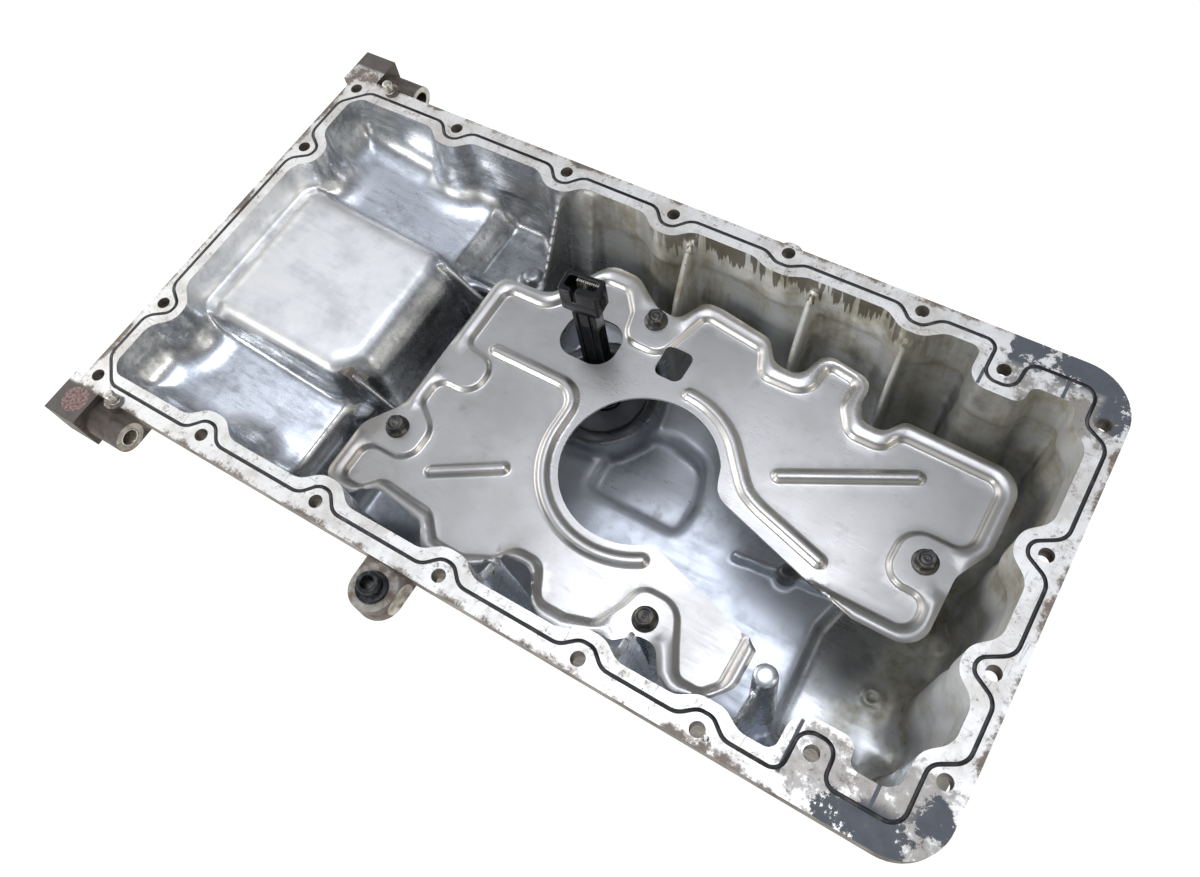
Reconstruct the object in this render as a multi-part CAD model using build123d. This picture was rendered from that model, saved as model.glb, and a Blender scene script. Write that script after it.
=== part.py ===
from build123d import *
import math
import os

# Engine oil pan lying on its sump with the open side up. X runs from the gearbox end (minus)
# to the timing end (plus), Y runs across the pan and Z points up. Sizes are in millimetres and
# depths are measured down from the machined rim face.

# Casting
rim = 136.0
length = 500.0
width = 259.0
flange = 10.0
wall = 4.5
draft = 3.2
floor_depth = 118.0
well_x = 26.7
well_y = 14.1
well_radius = 33.7
well_flat = 9.0
trough_left = 27.0
trough_right = 47.0
trough_end = -134.0
block_left = 9.0
block_right = 19.0
block_end = -118.0
block_half = 51.0
gusset_side = 44.0
shelf_depth = 60.0
shelf_end = -76.0
shelf_side = 58.0
rib = 3.6
far_ribs = [7.0, 82.0, 137.0]
near_ribs = [13.0, 90.5]
pilaster_end = -59.0
post_x = 153.0
post_y = -81.0
post_depth = 25.0
post_radius = 6.2
knob_x = 129.0
knob_y = -2.0
dome_x = -90.0
dome_y = 78.0
dome_radius = 5.5
bevel = 7.0

# Opening inside the flange and the bolt holes round it
opening_left = -239.0
opening_right = 236.5
opening_side = 114.5
opening_end_side = 104.5
opening_gap = 14.3
opening_cut = 6.0
opening_flat = 6.0
opening_slope = 10.0
hole = 7.4
far_bolts = [(-162.0, 120.3), (-81.2, 120.3), (-9.0, 120.3), (60.5, 124.5), (138.3, 121.5)]
near_bolts = [(-162.0, 120.3), (-81.2, 120.3), (-1.8, 121.5), (78.5, 122.3), (140.5, 122.7)]
left_bolt = -242.0
left_bolts = [-65.5, 66.0]
right_bolt = 239.3
right_bolts = [-37.7, 24.0]
far_corner = 99.5
near_corner = 90.0
column = 187.2
column_bolt = 107.0
outer_corner = (-242.2, 120.3)

# Seal cord and its groove
seal_left = -244.5
seal_right = 243.5
seal_side = 120.0
seal_end_side = 115.3
seal_gap = 9.2
seal_cut = 14.0
seal_flat = 4.0
seal_slope = 8.0
seal_width = 2.0
seal_depth = 1.6
seal_recess = 0.1
seal_slack = 0.05

# Baffle plate
plate_depth = 40.0
sheet = 1.5
step = 2.5
bead = 8.6
pickup_x = 41.0
pickup_y = -10.5
pickup_radius = 44.3
bead_radius = 53.0
baffle_bolts = [(2.5, 75.5), (-92.5, -54.0), (194.0, 12.0), (87.0, -82.0)]
pillar = 8.0

# Six millimetre screws and pins
thread = 6.0
slack = 0.05
head_flats = 10.0
head_wall = 1.3
head_flange = 13.8
head_flange_height = 1.6
head_height = 6.0
screw_length = 18.0
pin_length = 18.5
pin_stand = 6.5
pin_root = 7.0
pin_end = 6.0
pin_shoulder = 0.05
pins = [(-222.0, -(width / 2 - 2.0)), (-221.0, width / 2 - 1.5)]

# Level sensor standing through the sump floor
sensor_x = -26.0
sensor_y = 48.7
sensor_hole = 38.0
sensor_disc = 44.0
sensor_lobe = 5.5
sensor_flange = 4.5
spigot_height = 10.5
turret = 76.0
turret_rise = 14.0
turret_ledge = 10.0
head_top = 11.0
sensor_head_x = 21.0
sensor_head_y = 12.2
sensor_head_height = 22.0
sensor_turn = 6.0
head_taper = 2.5
contacts = 8
contact_pitch = 1.9
sensor_screw = 5.0
sensor_screw_length = 15.0
sensor_bore = 12.0
sensor_screw_circle = 47.0
sensor_screw_angles = [27.0, 147.0, 267.0]

# Drain plug in the end wall of the pocket
drain_y = -62.0
drain_z = 17.0
drain_face = 243.0
drain_thread = 14.0
drain_flats = 17.0
drain_head = 8.0
drain_shank = 16.0
washer = 1.5

# Ears for the gearbox and the side lug
ear_left = -256.0
ear_block = -233.0
ear_boss = -208.0
ear_side = width / 2 + 9.5
ear_edge = width / 2 + 20.5
ear_depth = 13.0
ear_radius = 9.0
ear_bore = 11.0
lug_x = -28.8
lug_y = -(width / 2 + 12.5)
lug_radius = 12.4
lug_depth = 4.0
lug_thickness = 14.0
nut_flange = 16.8
nut_flats = 11.0
nut_height = 8.5
nut_bore = 6.8
sleeve_wall = 1.0


def level(depth):
    """Height of a plane this far below the rim face."""
    return rim - depth


def outline(corners):
    """Flat face through the corners, each rounded by its radius or by as much as has room."""
    arcs = []
    for here, before, after in zip(corners, corners[-1:] + corners[:-1], corners[1:] + corners[:1]):
        point = Vector(here[0], here[1])
        back = Vector(before[0], before[1]) - point
        ahead = Vector(after[0], after[1]) - point
        half = math.radians(back.get_angle(ahead)) / 2
        run = min(here[2] / math.tan(half), 0.48 * min(back.length, ahead.length))
        radius = run * math.tan(half)
        inward = (back.normalized() + ahead.normalized()).normalized()
        middle = point + inward * (radius / math.sin(half) - radius)
        arcs.append(
            ThreePointArc(point + back.normalized() * run, middle, point + ahead.normalized() * run))
    edges = []
    for arc, following in zip(arcs, arcs[1:] + arcs[:1]):
        edges += [arc, Line(arc @ 1, following @ 0)]
    return make_face(edges)


def prism(face, bottom, top):
    """Straight prism of a flat face between two heights."""
    return Pos(0, 0, bottom) * extrude(face, top - bottom)


def side_prism(points, near, far):
    """Prism of an X and Z outline between two Y positions."""
    face = Plane.XZ * make_face(Polyline(*points, close=True))
    return Pos(0, far, 0) * extrude(face, far - near)


def cross_prism(points, middle, thickness):
    """Upright sheet of a Y and Z outline, centred on one X position."""
    face = Plane.YZ * make_face(Polyline(*points, close=True))
    return Pos(middle - thickness / 2, 0, 0) * extrude(face, thickness)


def block(left, right, near, far, bottom, top):
    """Plain rectangular block between its six sides."""
    centre = Pos((left + right) / 2, (near + far) / 2, (bottom + top) / 2)
    return centre * Box(right - left, far - near, top - bottom)


def rod(x, y, bottom, top, radius):
    """Upright round bar."""
    return Pos(x, y, bottom) * Cylinder(radius, top - bottom, align=(Align.CENTER, Align.CENTER, Align.MIN))


def lying(left, right, y, z, radius):
    """Round bar lying along X."""
    return Pos(left, y, z) * Rot(0, 90, 0) * Cylinder(
        radius, right - left, align=(Align.CENTER, Align.CENTER, Align.MIN))


def swell(along, base, crest, flat, slope, radius):
    """Four corners of a bump that leaves a base line for a crest and comes back."""
    return [
        (along - flat - slope, base, radius), (along - flat, crest, radius),
        (along + flat, crest, radius), (along + flat + slope, base, radius),
    ]


def rim_line(left, right, side, end_side, gap, cut, flat, slope):
    """Closed line inside the bolts of the rim, kept one gap away from every bolt hole."""
    bend = 2 * flat
    lobe = 2 * flat

    def long_edge(sign, bolts, corner):
        run = [(left + cut, side, 8)]
        for x, y in bolts:
            run += swell(x, side, y - gap, flat, slope, bend)
        run += [
            (column - gap, side, 5), (column - gap, column_bolt - gap, lobe),
            (column + gap, column_bolt - gap, lobe), (column + gap + 1, end_side, 5),
            (right_bolt - gap, end_side, gap / 2 + 2),
            (right_bolt - gap, corner - flat, lobe), (right, corner - flat - slope, lobe),
        ]
        return [(x, sign * y, radius) for x, y, radius in run]

    end = []
    for along in right_bolts:
        end += [(x, y, r) for y, x, r in swell(along, right, right_bolt - gap, flat, slope, bend)]
    start = [(left, -side + cut, 8)]
    for along in left_bolts:
        start += [(x, y, r) for y, x, r in swell(along, left, left_bolt + gap, flat, slope, bend)]
    start += [(left, side - cut, 8)]
    far = long_edge(1, far_bolts, far_corner)
    near = long_edge(-1, near_bolts, near_corner)
    return outline(near + end + far[::-1] + start[::-1])


def opening_line(shrink):
    """Opening of the rim, moved inwards by this much all round."""
    return rim_line(
        opening_left + shrink, opening_right - shrink, opening_side - shrink,
        opening_end_side - shrink, opening_gap + shrink, opening_cut,
        opening_flat + 0.3 * shrink, opening_slope)


def drafted(shrink, top, bottom):
    """Prism of the opening that narrows downwards by the casting draft and then by a bottom bevel."""
    slant = (top - bottom - bevel) * math.tan(math.radians(draft))
    upper = loft([Pos(0, 0, top) * opening_line(shrink),
                  Pos(0, 0, bottom + bevel) * opening_line(shrink + slant)], ruled=True)
    lower = loft([Pos(0, 0, bottom + bevel) * opening_line(shrink + slant),
                  Pos(0, 0, bottom) * opening_line(shrink + slant + bevel * 0.5)], ruled=True)
    return upper + lower


def inset(corners, distance):
    """Corners of an anticlockwise outline moved inwards by this much."""
    moved = []
    for here, before, after in zip(corners, corners[-1:] + corners[:-1], corners[1:] + corners[:1]):
        arriving = Vector(here[0] - before[0], here[1] - before[1]).normalized()
        leaving = Vector(after[0] - here[0], after[1] - here[1]).normalized()
        reach = distance / (1 + arriving.dot(leaving))
        shift = Vector(-arriving.Y - leaving.Y, arriving.X + leaving.X) * reach
        bend = here[2] - distance if arriving.cross(leaving).Z > 0 else here[2] + distance
        moved.append((here[0] + shift.X, here[1] + shift.Y, max(bend, 0.5)))
    return moved


def drilled(x, y, top, depth, diameter):
    """Round hole going down from a height."""
    return rod(x, y, top - depth, top, diameter / 2)


def hexagon(flats):
    """Hexagon of this size across its flats."""
    return RegularPolygon(flats / 2, 6, major_radius=False)


# Heights and places that several pieces share
floor_z = level(floor_depth)
under_z = level(floor_depth + wall)
step_x = trough_end + 6
plate_z = level(plate_depth)
sheet_under = plate_z - sheet
flange_bolts = far_bolts + [(x, -y) for x, y in near_bolts]
flange_bolts += [(left_bolt, y) for y in left_bolts] + [(right_bolt, y) for y in right_bolts]
flange_bolts += [(right_bolt, far_corner), (right_bolt, -near_corner)]
for side in (1, -1):
    flange_bolts += [(column, side * column_bolt), (outer_corner[0], side * outer_corner[1])]
sensor_screws = []
for angle in sensor_screw_angles:
    sensor_screws.append((
        sensor_x + sensor_screw_circle / 2 * math.cos(math.radians(angle)),
        sensor_y + sensor_screw_circle / 2 * math.sin(math.radians(angle))))

# Pan casting: outer skin, cut away under the shallow end and under the shelf
outside = drafted(-wall, rim, under_z)
outside -= side_prism([
    (-280, level(trough_left + wall - 8)), (opening_left, level(trough_left + wall)),
    (trough_end - 1, level(trough_right + wall)), (step_x - wall, level(trough_right + 12)),
    (step_x - wall, -5), (-280, -5)], -200, 200)
outside -= block(-200, shelf_end - wall, shelf_side + wall, 200, -5, level(shelf_depth + wall))
flange_face = outline([
    (-length / 2, -width / 2, 3), (length / 2, -width / 2, 24),
    (length / 2, width / 2, 29), (-length / 2, width / 2, 3)])
pan = outside + prism(flange_face, rim - flange, rim)
pan += rod(far_bolts[3][0], far_bolts[3][1], rim - flange, rim, hole)

# Well under the pick-up and the low pocket, both resting on the ground plane
well_face = Pos(well_x, well_y) * (
    Circle(well_radius) - Pos(0, -well_radius - well_y - well_flat) * Rectangle(100, 2 * well_radius))
pocket_face = outline([(160, -94, 12), (240, -94, 12), (240, 34, 16), (170, 34, 14), (155, -20, 14)])
pan += prism(offset(well_face, wall), 0, floor_z)
pan += prism(offset(pocket_face, wall), 0, floor_z) & drafted(-wall, rim, 0)

# Inside: shallow trough, deep sump and shelf
inside = drafted(0, rim, floor_z)
shallow = side_prism([
    (-280, rim + 1), (280, rim + 1), (280, level(trough_right)), (trough_end, level(trough_right)),
    (opening_left, level(trough_left)), (-280, level(trough_left - 8))], -200, 200)
deep = prism(outline([
    (step_x, -150, 1), (280, -150, 1), (280, 150, 1), (shelf_end, 150, 1), (shelf_end, shelf_side, 8),
    (block_end, block_half, 4), (block_end, -block_half, 4), (step_x, -block_half - 6, 4)]),
    floor_z - 1, level(trough_right - 5))
shelf = side_prism([
    (trough_end, level(trough_right)), (trough_end + 12, level(shelf_depth)),
    (shelf_end + 1, level(shelf_depth)), (shelf_end + 1, level(trough_right - 5)),
    (trough_end, level(trough_right - 5))], shelf_side, 200)
pan -= inside & (shallow + deep + shelf)

# Raised block over the shallow end, hollow from below
raised = side_prism([
    (-280, level(block_left - 3)), (opening_left, level(block_left)),
    (block_end - 10, level(block_right)), (block_end - 2, level(block_right + 8)),
    (block_end, level(shelf_depth)), (-280, level(shelf_depth))], -block_half, block_half)
shoulders = []
for edge in raised.edges():
    if abs(edge.center().Y) > block_half - 1 and edge.center().Z > level(block_right + 6):
        shoulders.append(edge)
pan += fillet(shoulders, 8) & outside
pan -= side_prism([
    (opening_left, level(block_left + wall)), (block_end - wall - 8, level(block_right + wall)),
    (block_end - wall, level(block_right + wall + 8)), (block_end - wall, -5), (opening_left, -5)],
    wall - block_half, block_half - wall)

# Gussets, wall ribs and the stiffener of the shelf
fins = []
for side in (1, -1):
    fins.append(side_prism([
        (block_end - 6, level(24)), (block_end + 2, level(32)), (block_end + 34, level(62)),
        (block_end + 34, floor_z), (block_end - 6, floor_z)],
        side * gusset_side - rib / 2, side * gusset_side + rib / 2))
for x in far_ribs:
    fins.append(cross_prism([
        (opening_side + 2, level(8)), (105, level(9)), (82, level(52)), (78, floor_z),
        (opening_side + 2, floor_z)], x, rib))
for x in near_ribs:
    fins.append(cross_prism([
        (-opening_side - 2, level(9)), (-107, level(10)), (-95.5, level(14)), (-90, floor_z),
        (-opening_side - 2, floor_z)], x, rib))
fins.append(cross_prism([
    (opening_side + 2, level(4)), (105, level(5)), (74, level(52)), (shelf_side, level(shelf_depth)),
    (shelf_side, floor_z), (opening_side + 2, floor_z)], shelf_end - rib / 2, rib))
fins.append(cross_prism([
    (opening_side + 2, level(3)), (112.5, level(3)), (99.5, level(shelf_depth)), (96, floor_z),
    (opening_side + 2, floor_z)], (shelf_end + pilaster_end) / 2, pilaster_end - shelf_end))
fins.append(cross_prism([
    (-opening_side - 2, level(19)), (-109, level(20)), (post_y - 5, level(38)), (post_y, floor_z),
    (-opening_side - 2, floor_z)], post_x - 2, rib))
pan += (fins[0] + fins[1:]) & outside

# Posts, knob, sensor turret, and the hollows of the well and the pocket
raised_work = [
    rod(post_x, post_y, floor_z, level(post_depth), post_radius),
    block(knob_x - 32, knob_x + 32, knob_y - rib / 2, knob_y + rib / 2, floor_z, floor_z + 6),
    rod(knob_x, knob_y, floor_z, floor_z + 9, 6.5), rod(knob_x, knob_y, floor_z, floor_z + 12, 4),
    Pos(dome_x, dome_y, level(shelf_depth)) * Sphere(dome_radius),
    rod(sensor_x, sensor_y, floor_z, floor_z + turret_rise, turret / 2)]
for x, y in baffle_bolts:
    raised_work.append(rod(x, y, floor_z, sheet_under, pillar))
pan += raised_work
low_inside = drafted(0, rim, wall)
low_pillar_x, low_pillar_y = baffle_bolts[2]
pan -= [
    rod(sensor_x, sensor_y, floor_z + turret_ledge, floor_z + turret_rise + 1, turret / 2 - 2 * wall),
    prism(well_face, wall, floor_z + 1) - rod(sensor_x, sensor_y, 0, rim, turret / 2),
    (prism(pocket_face, wall, floor_z + 1) - rod(low_pillar_x, low_pillar_y, 0, rim, pillar)) & low_inside]

# Ears for the gearbox, bosses of the locating pins, the side lug and the drain boss
outside_work = [
    rod(lug_x, lug_y, level(lug_depth + lug_thickness), level(lug_depth), lug_radius),
    block(lug_x - lug_radius, lug_x + lug_radius, lug_y, -opening_side - wall - 1,
          level(lug_depth + lug_thickness), level(lug_depth)),
    lying(drain_face - 14, drain_face, drain_y, drain_z, drain_flats / 2 + 4) - low_inside]
bores = []
for side in (1, -1):
    near, far = sorted((side * (width / 2 - 5), side * ear_edge))
    web_near, web_far = sorted((side * (width / 2 - 5), side * ear_side))
    outside_work += [
        block(ear_left, ear_block, near, far, level(ear_depth + ear_radius + 4), rim),
        block(ear_block, ear_boss, web_near, web_far, level(ear_depth + ear_radius), level(5)),
        lying(ear_left, ear_boss, side * ear_side, level(ear_depth), ear_radius)]
    bores.append(lying(ear_left - 1, ear_boss + 1, side * ear_side, level(ear_depth), ear_bore / 2))
for x, y in pins:
    outside_work.append(rod(x, y, level(pin_length), rim, thread))
    bores.append(drilled(x, y, rim, pin_length - pin_stand, pin_root + 2 * slack))
pan += outside_work

# Drilled holes and the seal groove
for x, y in flange_bolts:
    bores.append(drilled(x, y, rim + 1, flange + 2, hole))
for x, y in baffle_bolts:
    bores.append(drilled(x, y, sheet_under, screw_length, thread + 2 * slack))
for x, y in sensor_screws:
    bores.append(drilled(x, y, under_z + sensor_bore, sensor_bore, sensor_screw + 2 * slack))
bores += [
    drilled(sensor_x, sensor_y, floor_z + turret_ledge, turret_ledge + wall, sensor_hole),
    drilled(lug_x, lug_y, level(lug_depth), lug_thickness, nut_bore + 2 + 2 * slack),
    lying(drain_face - 30, drain_face + 1, drain_y, drain_z, drain_thread / 2 + slack)]
pan -= bores
seal_line = rim_line(
    seal_left, seal_right, seal_side, seal_end_side, seal_gap, seal_cut, seal_flat, seal_slope)
pan -= prism(offset(seal_line, seal_width) - seal_line, rim - seal_depth, rim + 1)
cord = offset(seal_line, seal_width - seal_slack) - offset(seal_line, seal_slack)
flange_seal = prism(cord, rim - seal_depth, rim - seal_recess)

# Baffle plate: raised lip, sunk middle, raised beads, openings and screw holes
lip = [
    (-98, 61.5, 9), (-98, -40, 14), (-112.5, -61, 14), (-112.5, -100.5, 12), (-92, -100.5, 8),
    (-80, -90.5, 10), (-46, -95.5, 7), (-38, -106.5, 6), (-12, -105, 8), (-3, -98.5, 4), (6, -88.5, 8),
    (22, -87, 10), (31, -104, 8), (38, -108.5, 8), (52, -108.5, 10), (70, -100, 10), (78, -99.5, 5),
    (88, -91, 8), (98, -90.5, 9), (106, -103, 8), (115, -108.5, 8), (134, -100.5, 8), (142.3, -90, 10),
    (142.3, -69, 1.5), (136, -64.8, 2), (50, -38.9, 0.5), (50, 6.4, 0.5), (154, -26, 2), (175, -32, 6),
    (209.8, -32, 14), (209.8, 12, 14), (220, 32, 14), (220, 78.5, 16), (153.5, 80.5, 6), (146, 69.5, 8),
    (133, 70, 8), (128.5, 80, 8), (128.5, 95, 9), (98, 100.5, 9), (92, 80, 9), (76, 81, 10),
    (66, 94.5, 8), (34, 100, 12), (22, 100.5, 9), (13, 82, 8), (-2, 84, 10), (-22, 98, 14),
    (-41, 98.5, 12), (-64, 63, 14)]
middle = [
    (-89.8, 55.5, 7), (-89.8, 10, 8), (-67, 6.5, 11), (-67, -15.5, 11), (-91, -15.5, 8), (-91, -34, 8),
    (-75, -46, 12), (-75, -68.5, 12), (-104, -68.5, 9), (-104, -95, 9), (-90, -95, 8), (-81, -85, 8),
    (-46, -88, 10), (-34, -100.5, 8), (-16, -100.5, 8), (0, -93, 8), (8, -82.5, 9), (23, -82.5, 9),
    (33, -101, 9), (50, -101, 8), (66, -96, 8), (74, -80, 10), (77, -68, 12), (97, -68, 13),
    (106, -86, 10), (114, -100.5, 8), (128, -100.5, 8), (135.7, -92, 8), (135.7, -50, 1), (150, -25.3, 1),
    (203, -25.3, 12), (203, -4, 9), (179, -4, 12), (179, 26, 12), (212, 26, 10), (212, 70.5, 9),
    (155, 72, 7), (149, 60.5, 9), (130, 60.5, 10), (121, 74, 10), (121, 91.5, 5), (102.5, 94.5, 5),
    (100, 72, 11), (72, 71.5, 9), (65, 87, 7), (26, 92.5, 6), (15, 57.3, 10), (-8, 57.3, 11),
    (-12.5, 76, 10), (-23, 88.5, 9), (-41, 88.5, 9), (-50, 70, 12), (-62, 56, 12)]
lean = sheet * (math.sqrt(2) - 1)
outer_step = loft([
    Pos(0, 0, sheet_under) * outline(inset(middle, -lean)),
    Pos(0, 0, sheet_under - step) * outline(inset(middle, step - lean))], ruled=True)
inner_step = loft([
    Pos(0, 0, plate_z) * outline(middle),
    Pos(0, 0, plate_z - step) * outline(inset(middle, step))], ruled=True)
blank = prism(outline(lip) - Pos(pickup_x, pickup_y) * Circle(pickup_radius), sheet_under - step, plate_z)
tips = []
for edge in blank.edges().filter_by(Axis.Z):
    if abs((edge.center() - Vector(pickup_x, pickup_y, edge.center().Z)).length - pickup_radius) < 0.5:
        tips.append(edge)
blank = fillet(tips, 6)
baffle_plate = (prism(outline(lip), sheet_under, plate_z) + outer_step - inner_step) & blank
start = pickup_x - bead_radius
beside = CenterArc((pickup_x, pickup_y), bead_radius, 88, -45.7)
beads = [
    Wire([
        Line((-72, 16), (start - 15, 16)), ThreePointArc((start - 15, 16), (start - 4.4, 11.6), (start, 1)),
        Line((start, 1), (start, pickup_y)), CenterArc((pickup_x, pickup_y), bead_radius, 180, 122)]),
    Wire([beside] + FilletPolyline(beside @ 1, (101.7, 1.2), (148, -12), radius=20).edges()),
    Wire([Line((-60, -67), (-25, -46))]),
    Wire([Line((109, 21), (172, 54))]),
]
for path in beads:
    over = loft([
        Pos(0, 0, plate_z - step - sheet) * make_face(offset(path, bead / 2)),
        Pos(0, 0, plate_z) * make_face(offset(path, bead / 2 - step))], ruled=True)
    baffle_plate += over
for x, y in baffle_bolts:
    baffle_plate -= drilled(x, y, plate_z, sheet, thread + 12 * slack)
stem_window = Pos(sensor_x, sensor_y) * RectangleRounded(36, 30.5, 12.5)
side_window = Pos(25.3, 55.8) * RectangleRounded(17.5, 20.5, 5)
baffle_plate -= prism(stem_window + side_window, sheet_under - step, plate_z)

# Screws of the baffle plate, each with a pressed flange and a dished hexagon head
def flanged_screw(x, y, seat):
    """Screw whose flange lies on a seat and whose shank goes down from it."""
    head = rod(x, y, seat, seat + head_flange_height, head_flange / 2)
    hexagon_head = prism(Pos(x, y) * hexagon(head_flats), seat, seat + head_height)
    head += hexagon_head & rod(x, y, seat, seat + head_height, head_flats / 2 + 0.4)
    head -= rod(x, y, seat + head_height - 1, seat + head_height, head_flats / 2 - head_wall)
    return head + rod(x, y, seat - screw_length + sheet, seat, thread / 2)


baffle_screws = [flanged_screw(x, y, plate_z) for x, y in baffle_bolts]

# Level sensor: lobed base with its plug socket, ring, stem, head and contacts
base_z = under_z - sensor_flange
base = rod(sensor_x, sensor_y, base_z, under_z, sensor_disc / 2)
base += [rod(x, y, base_z, under_z, sensor_lobe) for x, y in sensor_screws]
base += rod(sensor_x, sensor_y, under_z, under_z + spigot_height, sensor_hole / 2 - 2 * slack)
base += block(sensor_x - 14, sensor_x + 6, sensor_y - 8, sensor_y + 8, 2, base_z)
base -= block(sensor_x - 15, sensor_x + 3, sensor_y - 6, sensor_y + 6, 3.5, base_z - 1)
base -= [drilled(x, y, under_z, sensor_flange, sensor_screw + 6 * slack) for x, y in sensor_screws]
groove_z = under_z + 1.5
base -= rod(sensor_x, sensor_y, groove_z, groove_z + 2.6, sensor_hole / 2) - rod(
    sensor_x, sensor_y, groove_z, groove_z + 2.6, sensor_hole / 2 - 2)
sensor_ring = rod(sensor_x, sensor_y, groove_z + 0.1, groove_z + 2.5, sensor_hole / 2) - rod(
    sensor_x, sensor_y, groove_z, groove_z + 2.6, sensor_hole / 2 - 2)
sensor_ring = fillet(sensor_ring.edges(), 0.6)
foot_z = under_z + spigot_height
head_z = rim + head_top - sensor_head_height
stem = rod(sensor_x, sensor_y, foot_z, foot_z + 3, 12)
stem += block(sensor_x - 8.5, sensor_x + 8.5, sensor_y - 1.5, sensor_y + 1.5, foot_z, head_z)
stem += block(sensor_x - 1.5, sensor_x + 1.5, sensor_y - 5.5, sensor_y + 5.5, foot_z, head_z)
for rung in range(1, 8):
    height = foot_z + (head_z - foot_z) * rung / 8
    stem += block(sensor_x - 8.5, sensor_x + 8.5, sensor_y - 5, sensor_y + 5, height - 1, height + 1)
place = Pos(sensor_x + 2, sensor_y + 1.2, 0) * Rot(0, 0, sensor_turn)
head_top_z = rim + head_top
head_box = RectangleRounded(sensor_head_x, sensor_head_y, 1.8)
head_neck = RectangleRounded(sensor_head_x - 2 * head_taper, sensor_head_y - 2, 1)
neck_z = head_z + 2 * head_taper
head = place * prism(head_box, neck_z, head_top_z)
head += place * loft([Pos(0, 0, head_z) * head_neck, Pos(0, 0, neck_z) * head_box], ruled=True)
head -= place * block(-7.6, 7.6, -2.6, 4, head_top_z - 9, head_top_z)
head -= place * block(-2, 4, -sensor_head_y / 2, -2, head_z + 5, head_top_z)
for centre in (-sensor_head_x / 2, sensor_head_x / 2):
    head -= place * block(centre - 1, centre + 1, -2, 2, head_z, head_top_z - 6)
blades = []
for number in range(contacts):
    along = (number - (contacts - 1) / 2) * contact_pitch
    blades.append(place * block(along - 0.4, along + 0.4, -1.6, 2.4, head_top_z - 11, head_top_z - 3))
head -= blades
sensor_contacts = Compound(children=blades)
sensor_screw_set = []
for x, y in sensor_screws:
    screw = prism(Pos(x, y) * hexagon(8), base_z - 4, base_z)
    sensor_screw_set.append(screw + rod(x, y, base_z, base_z + sensor_screw_length, sensor_screw / 2))

# Drain plug and its washer
def lying_prism(face, left, right, y, z):
    """Prism of a flat face along X."""
    return Pos(left, y, z) * Rot(0, 90, 0) * extrude(face, right - left)


plug_face = drain_face + washer
drain_plug = lying_prism(hexagon(drain_flats), plug_face, plug_face + drain_head, drain_y, drain_z)
drain_plug += lying(plug_face - drain_shank, plug_face, drain_y, drain_z, drain_thread / 2)
drain_washer = lying(drain_face, plug_face, drain_y, drain_z, drain_flats / 2 + 2) - lying(
    drain_face, plug_face, drain_y, drain_z, drain_thread / 2 + slack)

# Bracket nut pressed into the lug, dowel sleeve of the near ear and locating pins
lug_z = level(lug_depth)
bracket_nut = rod(lug_x, lug_y, lug_z, lug_z + 1.8, nut_flange / 2)
bracket_nut += rod(lug_x, lug_y, lug_z, lug_z + nut_height, nut_flats / 2 + 0.3)
bracket_nut += rod(lug_x, lug_y, lug_z - lug_thickness + 2, lug_z, nut_bore / 2 + 1)
bracket_nut -= rod(lug_x, lug_y, lug_z - lug_thickness, lug_z + nut_height, nut_bore / 2)
dowel_sleeve = lying(ear_left, ear_boss, -ear_side, level(ear_depth), ear_bore / 2 - slack)
dowel_sleeve -= lying(ear_left, ear_boss, -ear_side, level(ear_depth), ear_bore / 2 - slack - sleeve_wall)
locating_pins = []
for x, y in pins:
    pin = rod(x, y, rim - pin_shoulder, rim + pin_stand, pin_end / 2)
    pin += rod(x, y, rim - pin_length + pin_stand, rim - pin_shoulder, pin_root / 2)
    locating_pins.append(chamfer(pin.edges().filter_by(GeomType.CIRCLE).sort_by(Axis.Z)[-1], 0.8))

pieces = {
    "pan_casting": pan, "flange_seal": flange_seal, "baffle_plate": baffle_plate,
    "sensor_base": base, "sensor_ring": sensor_ring, "sensor_stem": stem, "sensor_head": head,
    "sensor_contacts": sensor_contacts, "drain_plug": drain_plug, "drain_washer": drain_washer,
    "bracket_nut": bracket_nut, "dowel_sleeve": dowel_sleeve,
}
for name, copies in (("baffle_screw", baffle_screws), ("sensor_screw", sensor_screw_set),
                     ("locating_pin", locating_pins)):
    for number, piece in enumerate(copies, 1):
        pieces[name + "_" + str(number)] = piece
os.makedirs("parts", exist_ok=True)
for name, piece in pieces.items():
    export_step(piece, "parts/" + name + ".step")
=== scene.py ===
import math
import bmesh
import bpy
import numpy as np
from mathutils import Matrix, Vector
from mathutils.geometry import delaunay_2d_cdt


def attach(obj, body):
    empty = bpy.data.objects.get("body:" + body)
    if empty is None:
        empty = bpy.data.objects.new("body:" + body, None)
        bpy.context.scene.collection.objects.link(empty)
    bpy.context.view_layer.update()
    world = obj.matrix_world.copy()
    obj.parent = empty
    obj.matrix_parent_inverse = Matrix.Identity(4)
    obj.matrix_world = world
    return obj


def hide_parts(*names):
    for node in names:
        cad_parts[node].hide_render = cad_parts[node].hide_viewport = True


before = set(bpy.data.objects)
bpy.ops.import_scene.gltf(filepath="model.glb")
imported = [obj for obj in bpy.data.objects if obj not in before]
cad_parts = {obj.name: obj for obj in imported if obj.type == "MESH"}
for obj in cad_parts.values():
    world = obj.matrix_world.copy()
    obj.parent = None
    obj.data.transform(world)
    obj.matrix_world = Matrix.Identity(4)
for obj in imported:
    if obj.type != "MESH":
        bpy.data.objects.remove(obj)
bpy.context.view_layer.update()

# Photograph set-up: the camera stands over the near right corner of the pan and looks down at it.
# A white room lights the metal: each stretch of it glows towards one way, and the camera sees it
# white all over. Three soft lamps make the highlights. Lengths are millimetres, apart from places here.
scene = bpy.context.scene
scene.view_settings.view_transform = "Standard"
MM = 0.001
RIM = 136.0  # height of the rim face


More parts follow.
